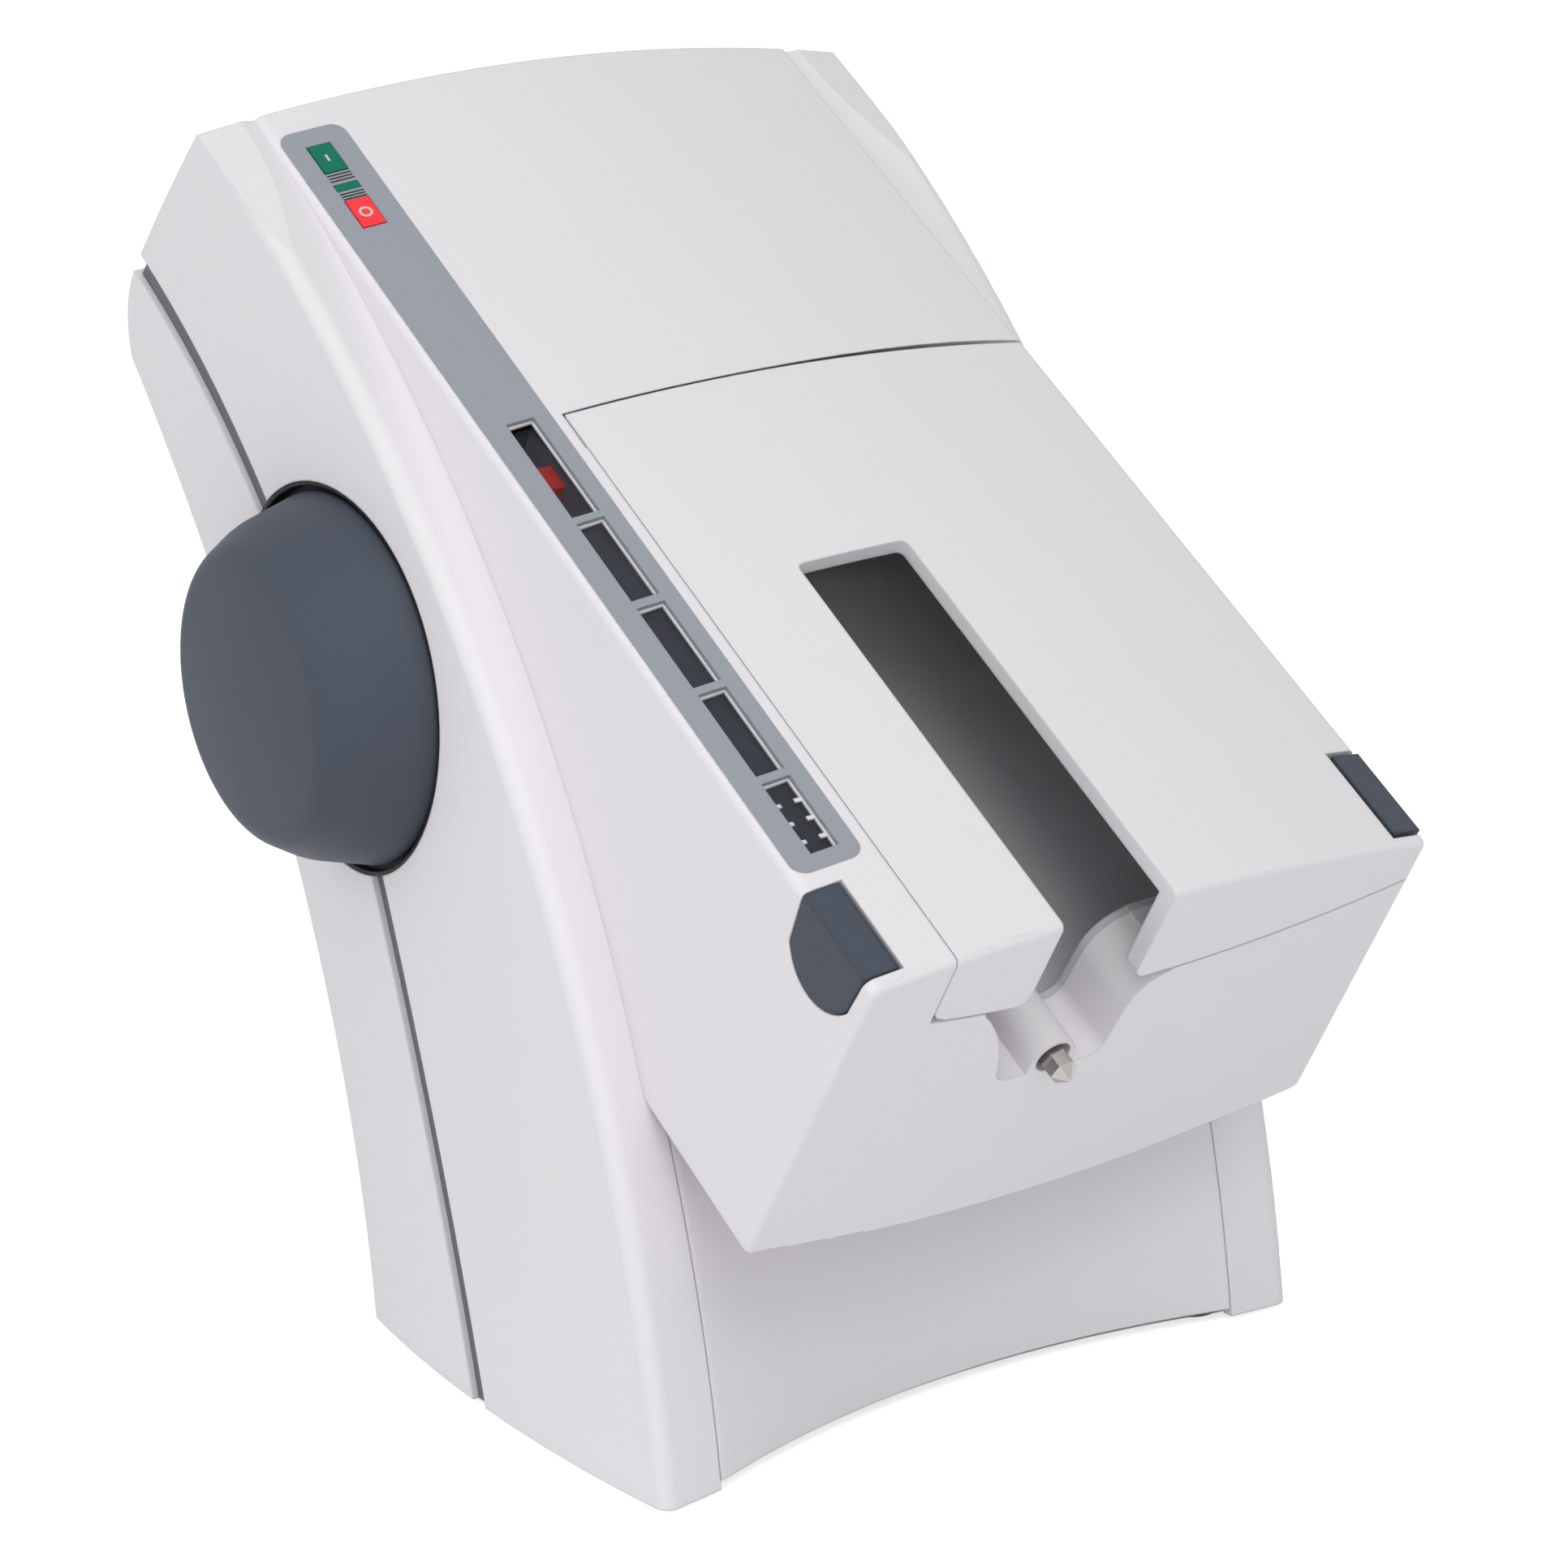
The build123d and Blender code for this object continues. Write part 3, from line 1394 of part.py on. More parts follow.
# Start buttons and the switches behind them
for side, word in ((-1, "left"), (1, "right")):
    stem_face = side * (button_inner - 1.2)
    switch_face = button_inner - 1.2 - button_travel - 0.4
    well_side = -(lid_left - well_wall) if side < 0 else switch_face - 8.0
    switch_side = (min(side * switch_face, side * well_side), max(side * switch_face, side * well_side))
    with BuildPart() as button:
        add(button_space(side, 0))
        with BuildPart(mode=Mode.PRIVATE) as skin:
            add(head_prism(0))
            add(crown_layer(-0.4, 60, (-89, 89), (-5, 60)), mode=Mode.INTERSECT)
        add(skin.part, mode=Mode.INTERSECT)
        stem_ends = (min(stem_face, side * button_inner), max(stem_face, side * button_inner))
        add(axle(10.0, switch_out, stem_ends, 1.5))
    finish(button.part, f"start_button_{word}")
    with BuildPart() as start_switch:
        add(block(switch_side, (5.0, 15.0), (-28.0, switch_out + 3.0)))
        add(over_seam(-lid_gap, (-90, 90), (0, 30)), mode=Mode.INTERSECT)
    finish(start_switch.part, f"start_switch_{word}")
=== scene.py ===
"""Looks of the bench-top impression material mixer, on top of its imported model."""

import math

import bmesh
import bpy
from bpy.props import FloatProperty, FloatVectorProperty, PointerProperty
from mathutils import Matrix, Vector


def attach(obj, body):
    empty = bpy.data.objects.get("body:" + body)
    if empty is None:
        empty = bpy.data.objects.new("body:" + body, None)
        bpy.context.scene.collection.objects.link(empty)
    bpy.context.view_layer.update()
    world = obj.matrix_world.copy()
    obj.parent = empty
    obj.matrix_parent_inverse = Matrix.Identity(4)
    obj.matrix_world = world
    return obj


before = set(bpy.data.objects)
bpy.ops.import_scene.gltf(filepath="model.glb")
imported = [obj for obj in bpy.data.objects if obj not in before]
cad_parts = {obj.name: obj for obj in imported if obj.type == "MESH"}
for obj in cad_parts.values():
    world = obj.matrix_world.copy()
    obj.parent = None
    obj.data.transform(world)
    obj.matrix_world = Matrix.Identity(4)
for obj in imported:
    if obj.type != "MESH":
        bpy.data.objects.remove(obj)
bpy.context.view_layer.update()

bl_info = {
    "name": "Impression Material Mixer",
    "version": (1, 0, 0),
    "blender": (4, 5, 0),
    "location": "3D View > Sidebar > Mixer",
    "description": "Finishes the mixer's shells, controls and works, and lights them in a studio",
    "category": "Object",
}

MM = 0.001

# The sloping head, as in the part's source: across, along (up the slope) and out of its top
HEAD_EDGE = Vector((14.5, -164.8, 161.0)) * MM
SLOPE = math.radians(34.3)
CROWN_RADIUS = 541.5 * MM
ACROSS = Vector((1, 0, 0))
UP_SLOPE = Vector((0, math.cos(SLOPE), math.sin(SLOPE)))
OUT_SLOPE = Vector((0, -math.sin(SLOPE), math.cos(SLOPE)))
KEY_ACROSS = -76.8 * MM
ON_KEY_ALONG = 302.5 * MM
OFF_KEY_ALONG = 280.0 * MM
SIGN_LIFT = 0.33 * MM
# Three lines on each side of the indicator, just clear of the strip's face
LINES_ALONG = (295.8, 294.65, 293.5, 288.2, 287.15, 286.1)
LINE_LENGTH = 7.0 * MM
LINE_LIFT = 0.22 * MM

# Inlet: contact pins by their place across and their height, in millimetres; earth stands highest
MIDDLE = 14.5
PIN_PLACES = ((0.0, 38.0), (-7.0, 34.0), (7.0, 34.0))
PIN_DEPTH = 74.66
PIN_SIZE = (2.1, 12.0, 4.1)
# Base screws: place across and depth, in millimetres, and the two bars of the painted shade in a head's
# cross recess
SCREW_PLACES = ((-98.6, -38.0), (98.6, -38.0), (-93.2, 42.0), (93.2, 42.0))
SCREW_HEAD_HEIGHT = 1.49
CROSS_BARS = ((3.4, 0.7, 0.1), (0.7, 3.4, 0.1))

# Studio, in metres: each softbox by name, place, width and the level at which it lights the mixer
SOFTBOXES = (
    ("left_softbox", (-1.8, 0.1, 1.0), 1.2, 0.18),
    ("top_softbox", (-0.3, -1.1, 1.9), 1.6, 0.41),
    ("front_softbox", (-0.7, -1.8, 0.8), 1.0, 0.14),
)
SOFTBOX_AIM = Vector((0, 0, 0.17))
FLOOR_HALF = 60.0
FLOOR_GLOW = 0.66
ROOM_LEFT, ROOM_RIGHT = 0.58, 0.24
CAMERA_PLACE = Vector((-0.64242, -0.96120, 0.48330))
CAMERA_AIM = Vector((0.00831, -0.00956, 0.15864))
CAMERA_ROLL = math.radians(-2.88)
CAMERA_LENS = 102.34


def linear(code):
    """sRGB hex value as linear colour."""
    parts = [int(code[i : i + 2], 16) / 255 for i in (1, 3, 5)]
    return [c / 12.92 if c <= 0.04045 else ((c + 0.055) / 1.055) ** 2.4 for c in parts]


def on_crown(across, along, lift=0.0):
    """Place on the crowned top of the head, turned so that z stands square to it."""
    lean = math.asin(across / CROWN_RADIUS)
    tangent = ACROSS * math.cos(lean) - OUT_SLOPE * math.sin(lean)
    normal = OUT_SLOPE * math.cos(lean) + ACROSS * math.sin(lean)
    drop = CROWN_RADIUS - math.sqrt(CROWN_RADIUS**2 - across**2)
    place = HEAD_EDGE + ACROSS * across + UP_SLOPE * along - OUT_SLOPE * drop + normal * lift
    turned = Matrix((tangent, UP_SLOPE, normal)).transposed().to_4x4()
    return Matrix.Translation(place) @ turned


def swatch(name, code, description):
    """Colour that a user may change, given as sRGB hex."""
    return FloatVectorProperty(
        name=name, description=description, subtype="COLOR", size=3, min=0, max=1, default=linear(code)
    )


def length(name, value, description, low=0.01, high=50.0):
    """Length in millimetres that a user may change."""
    return FloatProperty(name=name, description=description, default=value, min=low, max=high)


class MixerColours(bpy.types.PropertyGroup):
    """Colours of the mixer's finishes."""

    shell: swatch("Shell", "#E6E3E7", "Cool white of the moulded shells")
    band: swatch("Strip", "#6C6E76", "Mid grey of the strip between the shells")
    liner: swatch("Liner", "#C8C7CB", "Grey of the bay's liner")
    control: swatch("Controls", "#4A505B", "Slate of the knob and the start buttons")
    scale: swatch("Scale", "#9A9EA6", "Blue-grey of the scale strip")
    ink: swatch("Ink", "#262931", "Dark print on the scale strip")
    sign: swatch("Signs", "#C3C6C9", "Pale print on the keys")
    on_key: swatch("On key", "#17725C", "Green of the key that switches on")
    off_key: swatch("Off key", "#FF4049", "Red of the key that switches off")
    pointer: swatch("Pointer", "#FF2A20", "Red of the level pointer")


class MixerSizes(bpy.types.PropertyGroup):
    """Sizes of the details, in millimetres."""

    edge_round: length("Edge round", 0.9, "How far the shells' moulded edges are softened")
    grain: length("Grain", 0.9, "Spacing of the moulded grain")
    sign_bar: length("On sign", 2.6, "Length of the bar on the green key")
    sign_ring: length("Off sign", 3.9, "Width of the ring on the red key")
    sign_stroke: length("Sign stroke", 0.75, "Width of the signs' strokes")
    line_width: length("Line width", 0.42, "Width of the lines beside the indicator")


def settings():
    """The user's colours and sizes."""
    return bpy.context.scene.mixer_colours, bpy.context.scene.mixer_sizes


def add_node(tree, kind, values=None, links=None, **options):
    """Add a node with its settings, its sockets' values and what feeds them."""
    made = tree.nodes.new(kind)
    for name, value in options.items():
        setattr(made, name, value)
    for name, value in (values or {}).items():
        made.inputs[name].default_value = value
    for name, source in (links or {}).items():
        tree.links.new(source, made.inputs[name])
    return made


def new_finish(name, colour, roughness, ior=1.5, metallic=0.0, shine=0.5):
    """Material with its shader and the object's own coordinates."""
    material = bpy.data.materials.new(name)
    material.use_nodes = True
    tree = material.node_tree
    tree.nodes.clear()
    shader = add_node(
        tree,
        "ShaderNodeBsdfPrincipled",
        {
            "Base Color": (*colour, 1),
            "Roughness": roughness,
            "IOR": ior,
            "Metallic": metallic,
            "Specular IOR Level": shine,
        },
    )
    add_node(tree, "ShaderNodeOutputMaterial", links={"Surface": shader.outputs["BSDF"]})
    place = add_node(tree, "ShaderNodeTexCoord").outputs["Object"]
    material.diffuse_color = (*colour, 1)
    return material, tree, shader, place


def satin_abs(name, colour, roughness=0.5, shine=0.18):
    """ABS moulded in a spark-eroded tool: an even satin, soft edges and hardly any highlight."""
    _, sizes = settings()
    material, tree, shader, place = new_finish(name, colour, roughness, ior=1.54, shine=shine)
    # The tool's grain is about 0.1 mm; it is drawn at 0.9 mm, which is what shows at this distance
    grain = add_node(
        tree,
        "ShaderNodeTexNoise",
        {"Scale": 1 / (sizes.grain * MM), "Detail": 2.0, "Roughness": 0.6},
        {"Vector": place},
    )
    # Slow change of sheen over about 60 mm, from handling and from the melt's flow
    sheen = add_node(
        tree, "ShaderNodeTexNoise", {"Scale": 1 / (60 * MM), "Detail": 2.0}, {"Vector": place}
    )
    spread = add_node(
        tree,
        "ShaderNodeMapRange",
        {"To Min": roughness - 0.04, "To Max": roughness + 0.05},
        {"Value": sheen.outputs["Fac"]},
    )
    tree.links.new(spread.outputs["Result"], shader.inputs["Roughness"])
    tone = add_node(
        tree,
        "ShaderNodeMix",
        {"A": (*[c * 0.985 for c in colour], 1), "B": (*colour, 1)},
        {"Factor": sheen.outputs["Fac"]},
        data_type="RGBA",
    )
    tree.links.new(tone.outputs["Result"], shader.inputs["Base Color"])
    edges = add_node(tree, "ShaderNodeBevel", {"Radius": sizes.edge_round * MM}, samples=6)
    bump = add_node(
        tree,
        "ShaderNodeBump",
        {"Strength": 0.25, "Distance": 0.02 * MM},
        {"Height": grain.outputs["Fac"], "Normal": edges.outputs["Normal"]},
    )
    tree.links.new(bump.outputs["Normal"], shader.inputs["Normal"])
    return material


def soft_touch(name, colour):
    """Elastomer skin moulded over a hard core: dull, with a faint broad shine."""
    material, tree, shader, place = new_finish(name, colour, 0.5, shine=0.12)
    grain = add_node(
        tree, "ShaderNodeTexNoise", {"Scale": 1 / (0.7 * MM), "Detail": 2.0}, {"Vector": place}
    )
    # Fingers polish it in patches of about 25 mm
    touch = add_node(
        tree, "ShaderNodeTexNoise", {"Scale": 1 / (25 * MM), "Detail": 3.0}, {"Vector": place}
    )
    spread = add_node(
        tree, "ShaderNodeMapRange", {"To Min": 0.45, "To Max": 0.56}, {"Value": touch.outputs["Fac"]}
    )
    tree.links.new(spread.outputs["Result"], shader.inputs["Roughness"])
    edges = add_node(tree, "ShaderNodeBevel", {"Radius": 2.0 * MM}, samples=6)
    bump = add_node(
        tree,
        "ShaderNodeBump",
        {"Strength": 0.25, "Distance": 0.02 * MM},
        {"Height": grain.outputs["Fac"], "Normal": edges.outputs["Normal"]},
    )
    tree.links.new(bump.outputs["Normal"], shader.inputs["Normal"])
    return material


def printed_film(name, colour):
    """Polycarbonate film with a velvet face and print behind it: flat colour, broad dull shine."""
    material, tree, shader, place = new_finish(name, colour, 0.38, ior=1.58, shine=0.08)
    velvet = add_node(
        tree, "ShaderNodeTexNoise", {"Scale": 1 / (0.5 * MM), "Detail": 1.0}, {"Vector": place}
    )
    edges = add_node(tree, "ShaderNodeBevel", {"Radius": 0.3 * MM}, samples=6)
    bump = add_node(
        tree,
        "ShaderNodeBump",
        {"Strength": 0.2, "Distance": 0.01 * MM},
        {"Height": velvet.outputs["Fac"], "Normal": edges.outputs["Normal"]},
    )
    tree.links.new(bump.outputs["Normal"], shader.inputs["Normal"])
    return material


def smoked_acrylic(name):
    """Smoked clear sheet, press-polished: what lies behind it shows through, a little darker."""
    # Index lowered from acrylic's 1.49, so that the white backdrop doesn't wash the windows out
    material, tree, shader, place = new_finish(name, linear("#BFC5CF"), 0.06, ior=1.2)
    shader.inputs["Transmission Weight"].default_value = 1.0
    wipe = add_node(
        tree, "ShaderNodeTexNoise", {"Scale": 1 / (12 * MM), "Detail": 3.0}, {"Vector": place}
    )
    haze = add_node(
        tree, "ShaderNodeMapRange", {"To Min": 0.03, "To Max": 0.1}, {"Value": wipe.outputs["Fac"]}
    )
    tree.links.new(haze.outputs["Result"], shader.inputs["Roughness"])
    return material


def turned_metal(name, colour, roughness, pitch=0.25):
    """Ground or plated metal whose fine lines run round or along the piece."""
    material, tree, shader, place = new_finish(name, colour, roughness, metallic=1.0)
    stretch = add_node(tree, "ShaderNodeMapping", {"Scale": (1.0, 0.06, 0.06)}, {"Vector": place})
    lines = add_node(
        tree,
        "ShaderNodeTexNoise",
        {"Scale": 1 / (pitch * MM), "Detail": 2.0},
        {"Vector": stretch.outputs["Vector"]},
    )
    spread = add_node(
        tree,
        "ShaderNodeMapRange",
        {"To Min": roughness - 0.08, "To Max": roughness + 0.1},
        {"Value": lines.outputs["Fac"]},
    )
    tree.links.new(spread.outputs["Result"], shader.inputs["Roughness"])
    edges = add_node(tree, "ShaderNodeBevel", {"Radius": 0.25 * MM}, samples=6)
    bump = add_node(
        tree,
        "ShaderNodeBump",
        {"Strength": 0.2, "Distance": 0.01 * MM},
        {"Height": lines.outputs["Fac"], "Normal": edges.outputs["Normal"]},
    )
    tree.links.new(bump.outputs["Normal"], shader.inputs["Normal"])
    return material


def zinc_plate(name):
    """Zinc-plated sheet steel: pale blue-grey with the soft patches of the plating bath."""
    material, tree, shader, place = new_finish(name, linear("#B4B8BC"), 0.36, metallic=1.0)
    bath = add_node(
        tree, "ShaderNodeTexNoise", {"Scale": 1 / (14 * MM), "Detail": 4.0}, {"Vector": place}
    )
    tone = add_node(
        tree,
        "ShaderNodeMix",
        {"A": (*linear("#A3A8AD"), 1), "B": (*linear("#C2C4C4"), 1)},
        {"Factor": bath.outputs["Fac"]},
        data_type="RGBA",
    )
    tree.links.new(tone.outputs["Result"], shader.inputs["Base Color"])
    spread = add_node(
        tree, "ShaderNodeMapRange", {"To Min": 0.28, "To Max": 0.45}, {"Value": bath.outputs["Fac"]}
    )
    tree.links.new(spread.outputs["Result"], shader.inputs["Roughness"])
    return material


def nitrile_rubber(name):
    """Black rubber of the feet: dull, a little dusty."""
    material, tree, shader, place = new_finish(name, linear("#1D1D1E"), 0.75, ior=1.52)
    dust = add_node(
        tree, "ShaderNodeTexNoise", {"Scale": 1 / (4 * MM), "Detail": 4.0}, {"Vector": place}
    )
    tone = add_node(
        tree,
        "ShaderNodeMix",
        {"A": (*linear("#171718"), 1), "B": (*linear("#2A2A2B"), 1)},
        {"Factor": dust.outputs["Fac"]},
        data_type="RGBA",
    )
    tree.links.new(tone.outputs["Result"], shader.inputs["Base Color"])
    return material


def fibreglass_board(name):
    """Circuit board: green solder mask over copper tracks about 1.3 mm apart."""
    material, tree, shader, place = new_finish(name, linear("#1E5A35"), 0.3, ior=1.5)
    tracks = add_node(
        tree,
        "ShaderNodeTexBrick",
        {
            "Color1": (*linear("#1E5A35"), 1),
            "Color2": (*linear("#25683E"), 1),
            "Mortar": (*linear("#174A2B"), 1),
            "Scale": 1 / (12 * MM),
            "Mortar Size": 0.03,
        },
        {"Vector": place},
    )
    tree.links.new(tracks.outputs["Color"], shader.inputs["Base Color"])
    return material


def eye_rays(tree):
    """1 for rays from the eye, straight, mirrored or through glass; 0 for those that light things."""
    rays = add_node(tree, "ShaderNodeLightPath")
    seen = add_node(
        tree,
        "ShaderNodeMath",
        links={0: rays.outputs["Is Camera Ray"], 1: rays.outputs["Is Glossy Ray"]},
        operation="MAXIMUM",
    )
    clear = add_node(
        tree,
        "ShaderNodeMath",
        links={0: seen.outputs[0], 1: rays.outputs["Is Transmission Ray"]},
        operation="MAXIMUM",
    )
    return clear.outputs[0]


def paint(material, *nodes):
    """Give CAD nodes a material."""
    for name in nodes:
        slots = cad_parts[name].data.materials
        slots.clear()
        slots.append(material)


def make_piece(name, shape, material, body):
    """Turn a finished bmesh into a piece that rides on a body."""
    mesh = bpy.data.meshes.new(name)
    shape.to_mesh(mesh)
    shape.free()
    piece = bpy.data.objects.new(name, mesh)
    bpy.context.scene.collection.objects.link(piece)
    mesh.materials.append(material)
    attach(piece, body)
    return piece


class MIXER_OT_shells(bpy.types.Operator):
    """Give the shells, the lid and the strip between them their moulded finish"""

    bl_idname = "mixer.shells"
    bl_label = "Shells"

    def execute(self, context):
        colours, _ = settings()
        shell = satin_abs("Satin moulded ABS, cool white", colours.shell)
        paint(shell, "front_housing", "rear_housing", "base_front_panel", "lid")
        band = satin_abs("Satin moulded ABS, mid grey", colours.band, 0.5)
        paint(band, "accent_band")
        base = satin_abs("Moulded ABS, base grey", linear("#8A8C90"), 0.55)
        paint(base, "base_plate")
        return {"FINISHED"}


class MIXER_OT_bay(bpy.types.Operator):
    """Finish the bay's liner, the dish behind the knob and the push discs"""

    bl_idname = "mixer.bay"
    bl_label = "Bay"

    def execute(self, context):
        colours, _ = settings()
        paint(satin_abs("Moulded ABS, grey", colours.liner, 0.5), "bay_liner")
        paint(satin_abs("Moulded ABS, black", linear("#232427"), 0.6), "knob_dish")
        acetal = satin_abs("Turned acetal, natural white", linear("#DCDCD8"), 0.35)
        paint(acetal, "push_disc_large", "push_disc_small")
        return {"FINISHED"}


class MIXER_OT_controls(bpy.types.Operator):
    """Finish the knob and the start buttons"""

    bl_idname = "mixer.controls"
    bl_label = "Controls"

    def execute(self, context):
        colours, _ = settings()
        slate = soft_touch("Soft-touch elastomer, slate", colours.control)
        paint(slate, "knob", "start_button_left", "start_button_right")
        return {"FINISHED"}


class MIXER_OT_scale(bpy.types.Operator):
    """Finish the scale strip, its windows, keys, pointer and indicator"""

    bl_idname = "mixer.scale"
    bl_label = "Scale strip"

    def execute(self, context):
        colours, _ = settings()
        paint(printed_film("Velvet polycarbonate film, blue-grey", colours.scale), "scale_strip")
        green = printed_film("Velvet polycarbonate film, green", colours.on_key)
        paint(green, "green_key", "status_lens")
        paint(printed_film("Velvet polycarbonate film, red", colours.off_key), "red_key")
        paint(smoked_acrylic("Smoked acrylic sheet"), "window_pane")
        paint(satin_abs("Moulded ABS, red", colours.pointer, 0.4), "pointer")
        return {"FINISHED"}


class MIXER_OT_key_signs(bpy.types.Operator):
    """Print the bar and the ring on the keys and the lines beside the indicator"""

    bl_idname = "mixer.key_signs"
    bl_label = "Key signs"

    def execute(self, context):
        colours, sizes = settings()
        pale = printed_film("Screen print, pale grey", colours.sign)
        stroke = sizes.sign_stroke * MM
        bar = bmesh.new()
        bmesh.ops.create_grid(bar, x_segments=2, y_segments=6, size=0.5)
        bmesh.ops.scale(bar, vec=(stroke, sizes.sign_bar * MM, 1), verts=bar.verts)
        place = on_crown(KEY_ACROSS, ON_KEY_ALONG, SIGN_LIFT)
        bmesh.ops.transform(bar, matrix=place, verts=bar.verts)
        make_piece("on_sign", bar, pale, "green_key")

        ring = bmesh.new()
        outer = sizes.sign_ring * MM / 2
        rim = bmesh.ops.create_circle(ring, segments=48, radius=outer - stroke)["verts"]
        edges = list({edge for vert in rim for edge in vert.link_edges})
        grown = bmesh.ops.extrude_edge_only(ring, edges=edges)["geom"]
        far = [item for item in grown if isinstance(item, bmesh.types.BMVert)]
        bmesh.ops.scale(ring, vec=(outer / (outer - stroke),) * 3, verts=far)
        bmesh.ops.recalc_face_normals(ring, faces=ring.faces)
        place = on_crown(KEY_ACROSS, OFF_KEY_ALONG, SIGN_LIFT)
        bmesh.ops.transform(ring, matrix=place, verts=ring.verts)
        make_piece("off_sign", ring, pale, "red_key")

        dark = printed_film("Screen print, dark slate", colours.ink)
        lines = bmesh.new()
        for along in LINES_ALONG:
            line = bmesh.ops.create_grid(lines, x_segments=2, y_segments=1, size=0.5)["verts"]
            bmesh.ops.scale(lines, vec=(LINE_LENGTH, sizes.line_width * MM, 1), verts=line)
            place = on_crown(KEY_ACROSS, along * MM, LINE_LIFT)
            bmesh.ops.transform(lines, matrix=place, verts=line)
        make_piece("indicator_lines", lines, dark, "housing")
        return {"FINISHED"}


class MIXER_OT_works(bpy.types.Operator):
    """Finish the shafts, gears, racks, motors, boards and plates inside"""

    bl_idname = "mixer.works"
    bl_label = "Works"

    def execute(self, context):
        paint(turned_metal("Nickel-plated steel, turned", linear("#A9A6A2"), 0.2), "mix_shaft")
        ground = turned_metal("Ground steel bar", linear("#B9B7B4"), 0.28)
        rods = ("knob_shaft", "push_rod_left", "push_rod_right", "pointer_rod")
        paint(ground, *rods, "hinge_pin_left", "hinge_pin_right", "base_screws")
        bronze = turned_metal("Sintered bronze", linear("#9C7B4C"), 0.45, 0.6)
        bushes = ("knob_bush_left", "knob_bush_right", "rod_bush_left", "rod_bush_right")
        paint(bronze, *bushes, "mix_bush_front", "mix_bush_rear")
        teeth = turned_metal("Hobbed steel teeth", linear("#86878A"), 0.34, 0.4)
        drive = ("rack_left", "rack_right", "rack_pinion_left", "rack_pinion_right")
        paint(teeth, *drive, "advance_gear", "advance_pinion", "mix_gear", "mix_pinion")
        plates = ("chassis_left", "chassis_right", "motor_plate", "crosshead")
        paint(zinc_plate("Zinc-plated sheet steel"), *plates, "hinge_bracket_left", "hinge_bracket_right")
        can = satin_abs("Baked enamel on steel, dark", linear("#4A4C50"), 0.35)
        paint(can, "mix_motor", "advance_motor")
        paint(fibreglass_board("Fibreglass circuit board"), "power_board", "key_board")
        nylon = satin_abs("Moulded nylon, black", linear("#1B1B1D"), 0.45)
        paint(nylon, "transformer", "mains_inlet", "start_switch_left", "start_switch_right")
        feet = [f"foot_{number}" for number in (1, 2, 3, 4)]
        paint(nitrile_rubber("Nitrile rubber, black"), *feet)
        return {"FINISHED"}


class MIXER_OT_fixings(bpy.types.Operator):
    """Add the inlet's contact pins and painted shade for the cross recesses of the base screws"""

    bl_idname = "mixer.fixings"
    bl_label = "Fixings"

    def execute(self, context):
        plated = turned_metal("Nickel-plated brass", linear("#C9C2B2"), 0.3)
        pins = bmesh.new()
        for across, height in PIN_PLACES:
            made = bmesh.ops.create_cube(pins, size=1.0)["verts"]
            bmesh.ops.scale(pins, vec=Vector(PIN_SIZE) * MM, verts=made)
            place = Vector((MIDDLE + across, PIN_DEPTH, height)) * MM
            bmesh.ops.translate(pins, vec=place, verts=made)
        bmesh.ops.bevel(pins, geom=list(pins.edges), offset=0.25 * MM, segments=2, affect="EDGES")
        make_piece("inlet_pins", pins, plated, "housing")

        # Thin dark crosses laid on the screw heads: painted shade in place of the real recesses
        shade = satin_abs("Recess in a screw head, painted shade", linear("#202124"), 0.5)
        crosses = bmesh.new()
        for across, depth in SCREW_PLACES:
            for bar in CROSS_BARS:
                made = bmesh.ops.create_cube(crosses, size=1.0)["verts"]
                bmesh.ops.scale(crosses, vec=Vector(bar) * MM, verts=made)
                place = Vector((MIDDLE + across, depth, SCREW_HEAD_HEIGHT)) * MM
                bmesh.ops.translate(crosses, vec=place, verts=made)
        make_piece("screw_recess_shade", crosses, shade, "housing")
        return {"FINISHED"}


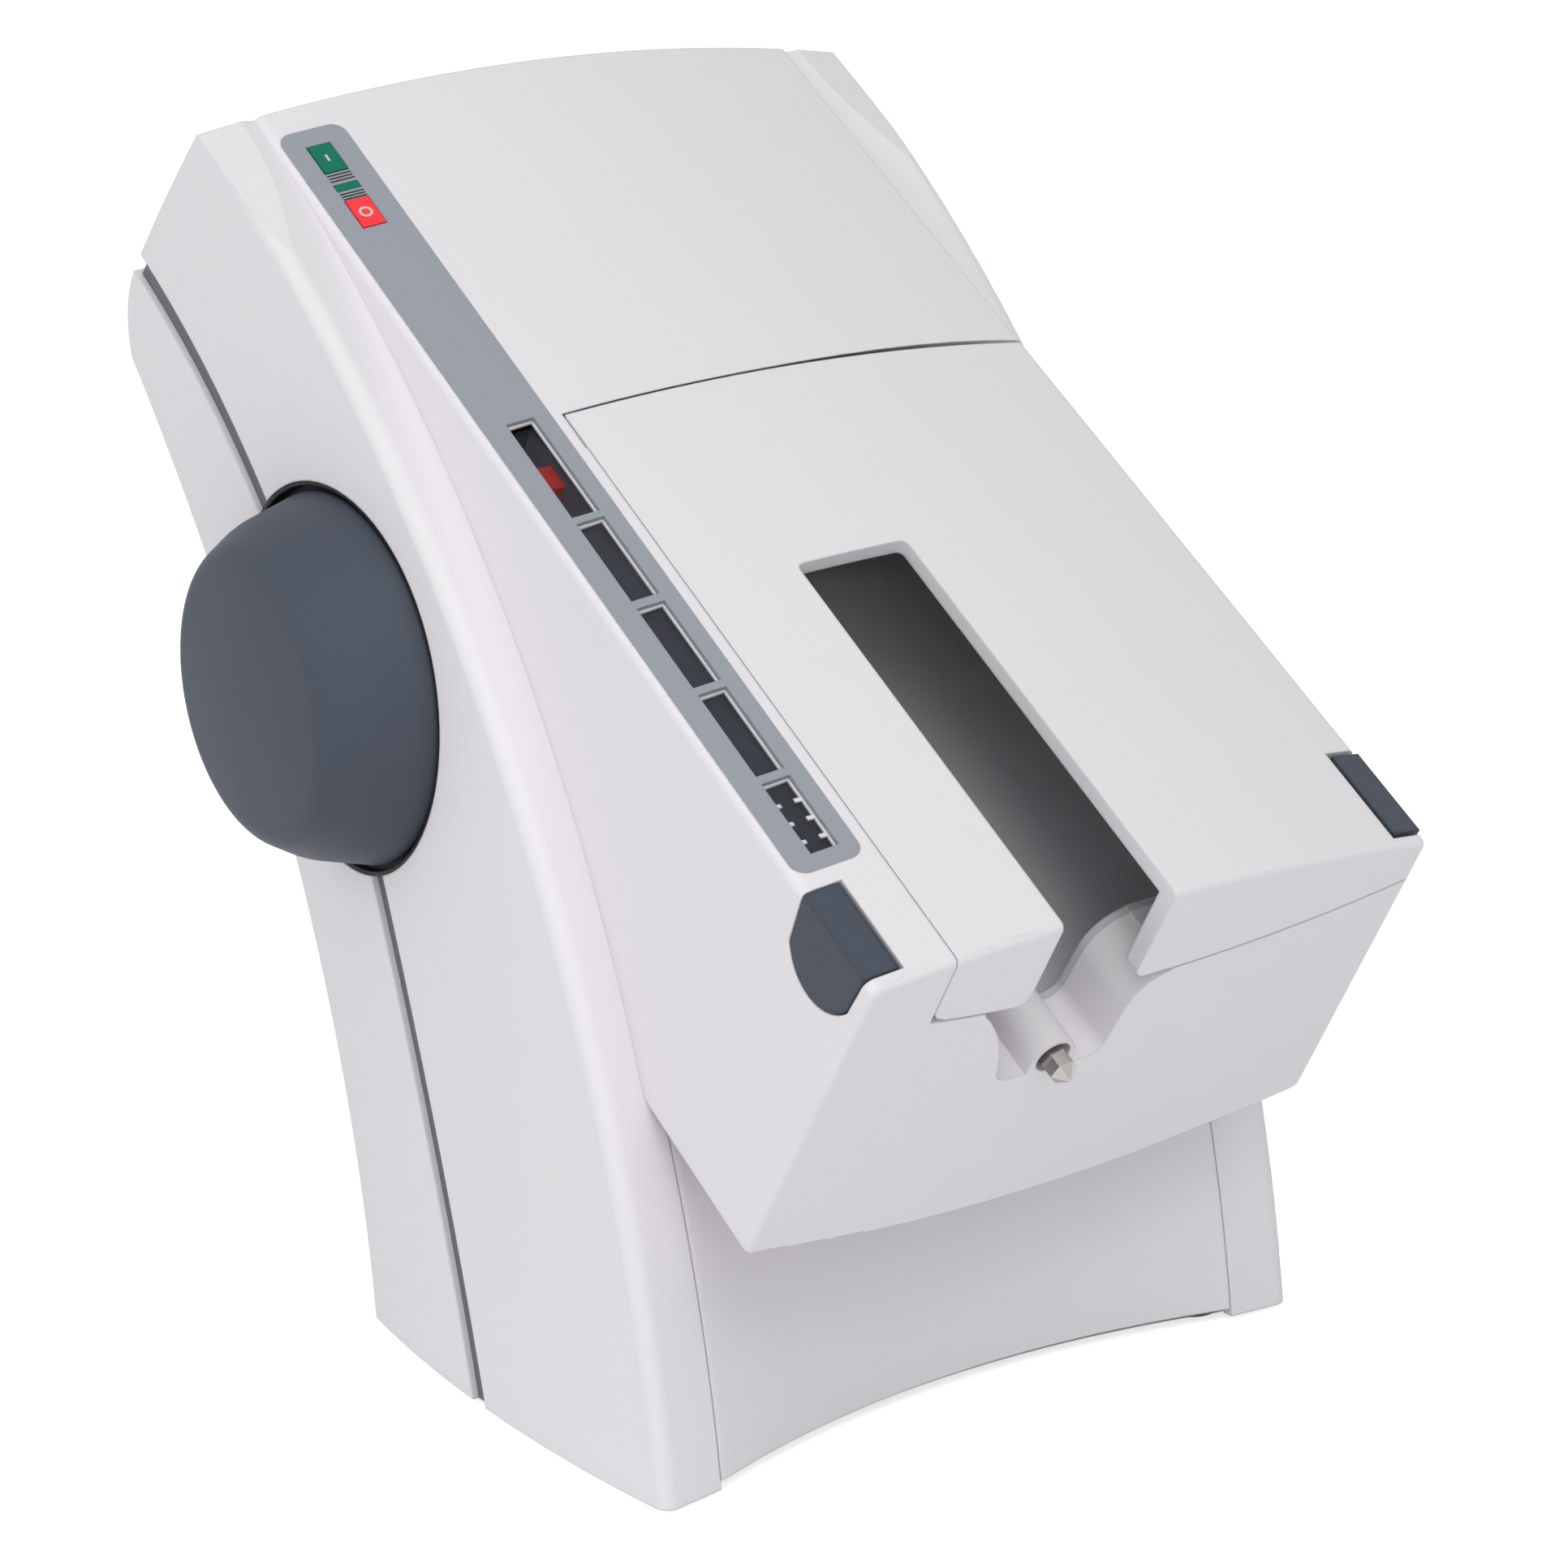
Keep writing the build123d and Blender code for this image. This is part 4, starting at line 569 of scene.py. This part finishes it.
class MIXER_OT_studio(bpy.types.Operator):
    """Set the mixer on a pale floor under soft light, with the camera in place"""

    bl_idname = "mixer.studio"
    bl_label = "Studio"

    def execute(self, context):
        scene = context.scene
        scene.view_settings.view_transform = "Standard"

        ground = bmesh.new()
        bmesh.ops.create_grid(ground, x_segments=1, y_segments=1, size=FLOOR_HALF)
        mesh = bpy.data.meshes.new("studio_floor")
        ground.to_mesh(mesh)
        ground.free()
        floor = bpy.data.objects.new("studio_floor", mesh)
        scene.collection.objects.link(floor)
        material, tree, shader, _ = new_finish("Studio floor, matt white", linear("#F4F4F5"), 0.9)
        # White to the eye, while its own light falls on nothing
        lift = add_node(
            tree, "ShaderNodeMath", {1: FLOOR_GLOW}, {0: eye_rays(tree)}, operation="MULTIPLY"
        )
        tree.links.new(lift.outputs[0], shader.inputs["Emission Strength"])
        shader.inputs["Emission Color"].default_value = (1, 1, 1, 1)
        mesh.materials.append(material)

        world = bpy.data.worlds.new("studio_world")
        scene.world = world
        world.use_nodes = True
        tree = world.node_tree
        sky = tree.nodes["Background"]
        sky.inputs["Color"].default_value = (*linear("#FFFFFF"), 1)
        # The room is brighter on the left, as a window wall would make it
        facing = add_node(tree, "ShaderNodeTexCoord").outputs["Generated"]
        across = add_node(tree, "ShaderNodeSeparateXYZ", links={"Vector": facing})
        room = add_node(
            tree,
            "ShaderNodeMapRange",
            {"From Min": -1.0, "From Max": 1.0, "To Min": ROOM_LEFT, "To Max": ROOM_RIGHT},
            {"Value": across.outputs["X"]},
        )
        # White to the eye, so that low views show no horizon
        backdrop = add_node(
            tree,
            "ShaderNodeMath",
            links={0: room.outputs["Result"], 1: eye_rays(tree)},
            operation="MAXIMUM",
        )
        tree.links.new(backdrop.outputs[0], sky.inputs["Strength"])

        for name, place, wide, level in SOFTBOXES:
            lamp = bpy.data.lights.new(name, "AREA")
            lamp.shape = "SQUARE"
            lamp.size = wide
            place = Vector(place)
            aim = SOFTBOX_AIM - place
            # Power that gives this level at the mixer, however far off the softbox stands
            lamp.energy = level * math.pi**2 * aim.length_squared
            holder = bpy.data.objects.new(name, lamp)
            scene.collection.objects.link(holder)
            holder.location = place
            holder.rotation_mode = "QUATERNION"
            holder.rotation_quaternion = aim.to_track_quat("-Z", "Y")

        camera = bpy.data.cameras.new("front_left_camera")
        camera.sensor_width = 36.0
        camera.lens = CAMERA_LENS
        camera.clip_start = 0.01
        camera.clip_end = 200.0
        ahead = (CAMERA_AIM - CAMERA_PLACE).normalized()
        level = ahead.cross(Vector((0, 0, 1))).normalized()
        upright = level.cross(ahead)
        right = level * math.cos(CAMERA_ROLL) + upright * math.sin(CAMERA_ROLL)
        top = upright * math.cos(CAMERA_ROLL) - level * math.sin(CAMERA_ROLL)
        holder = bpy.data.objects.new("front_left_camera", camera)
        scene.collection.objects.link(holder)
        turned = Matrix((right, top, -ahead)).transposed().to_4x4()
        holder.matrix_world = Matrix.Translation(CAMERA_PLACE) @ turned
        scene.camera = holder
        return {"FINISHED"}


class MIXER_PT_sidebar(bpy.types.Panel):
    """Mixer's colours, sizes and pieces"""

    bl_idname = "MIXER_PT_sidebar"
    bl_label = "Mixer"
    bl_space_type = "VIEW_3D"
    bl_region_type = "UI"
    bl_category = "Mixer"

    def draw(self, context):
        colours, sizes = settings()
        for group in (colours, sizes):
            column = self.layout.column(align=True)
            for name in group.__annotations__:
                column.prop(group, name)
        for operator in OPERATORS:
            self.layout.operator(operator.bl_idname)


OPERATORS = (
    MIXER_OT_shells,
    MIXER_OT_bay,
    MIXER_OT_controls,
    MIXER_OT_scale,
    MIXER_OT_key_signs,
    MIXER_OT_works,
    MIXER_OT_fixings,
    MIXER_OT_studio,
)
CLASSES = (MixerColours, MixerSizes, *OPERATORS, MIXER_PT_sidebar)


def register():
    for item in CLASSES:
        bpy.utils.register_class(item)
    bpy.types.Scene.mixer_colours = PointerProperty(type=MixerColours)
    bpy.types.Scene.mixer_sizes = PointerProperty(type=MixerSizes)


def unregister():
    del bpy.types.Scene.mixer_sizes
    del bpy.types.Scene.mixer_colours
    for item in reversed(CLASSES):
        bpy.utils.unregister_class(item)


def main():
    register()
    bpy.ops.mixer.shells()
    bpy.ops.mixer.bay()
    bpy.ops.mixer.controls()
    bpy.ops.mixer.scale()
    bpy.ops.mixer.key_signs()
    bpy.ops.mixer.works()
    bpy.ops.mixer.fixings()
    bpy.ops.mixer.studio()


if __name__ == "__main__":
    main()
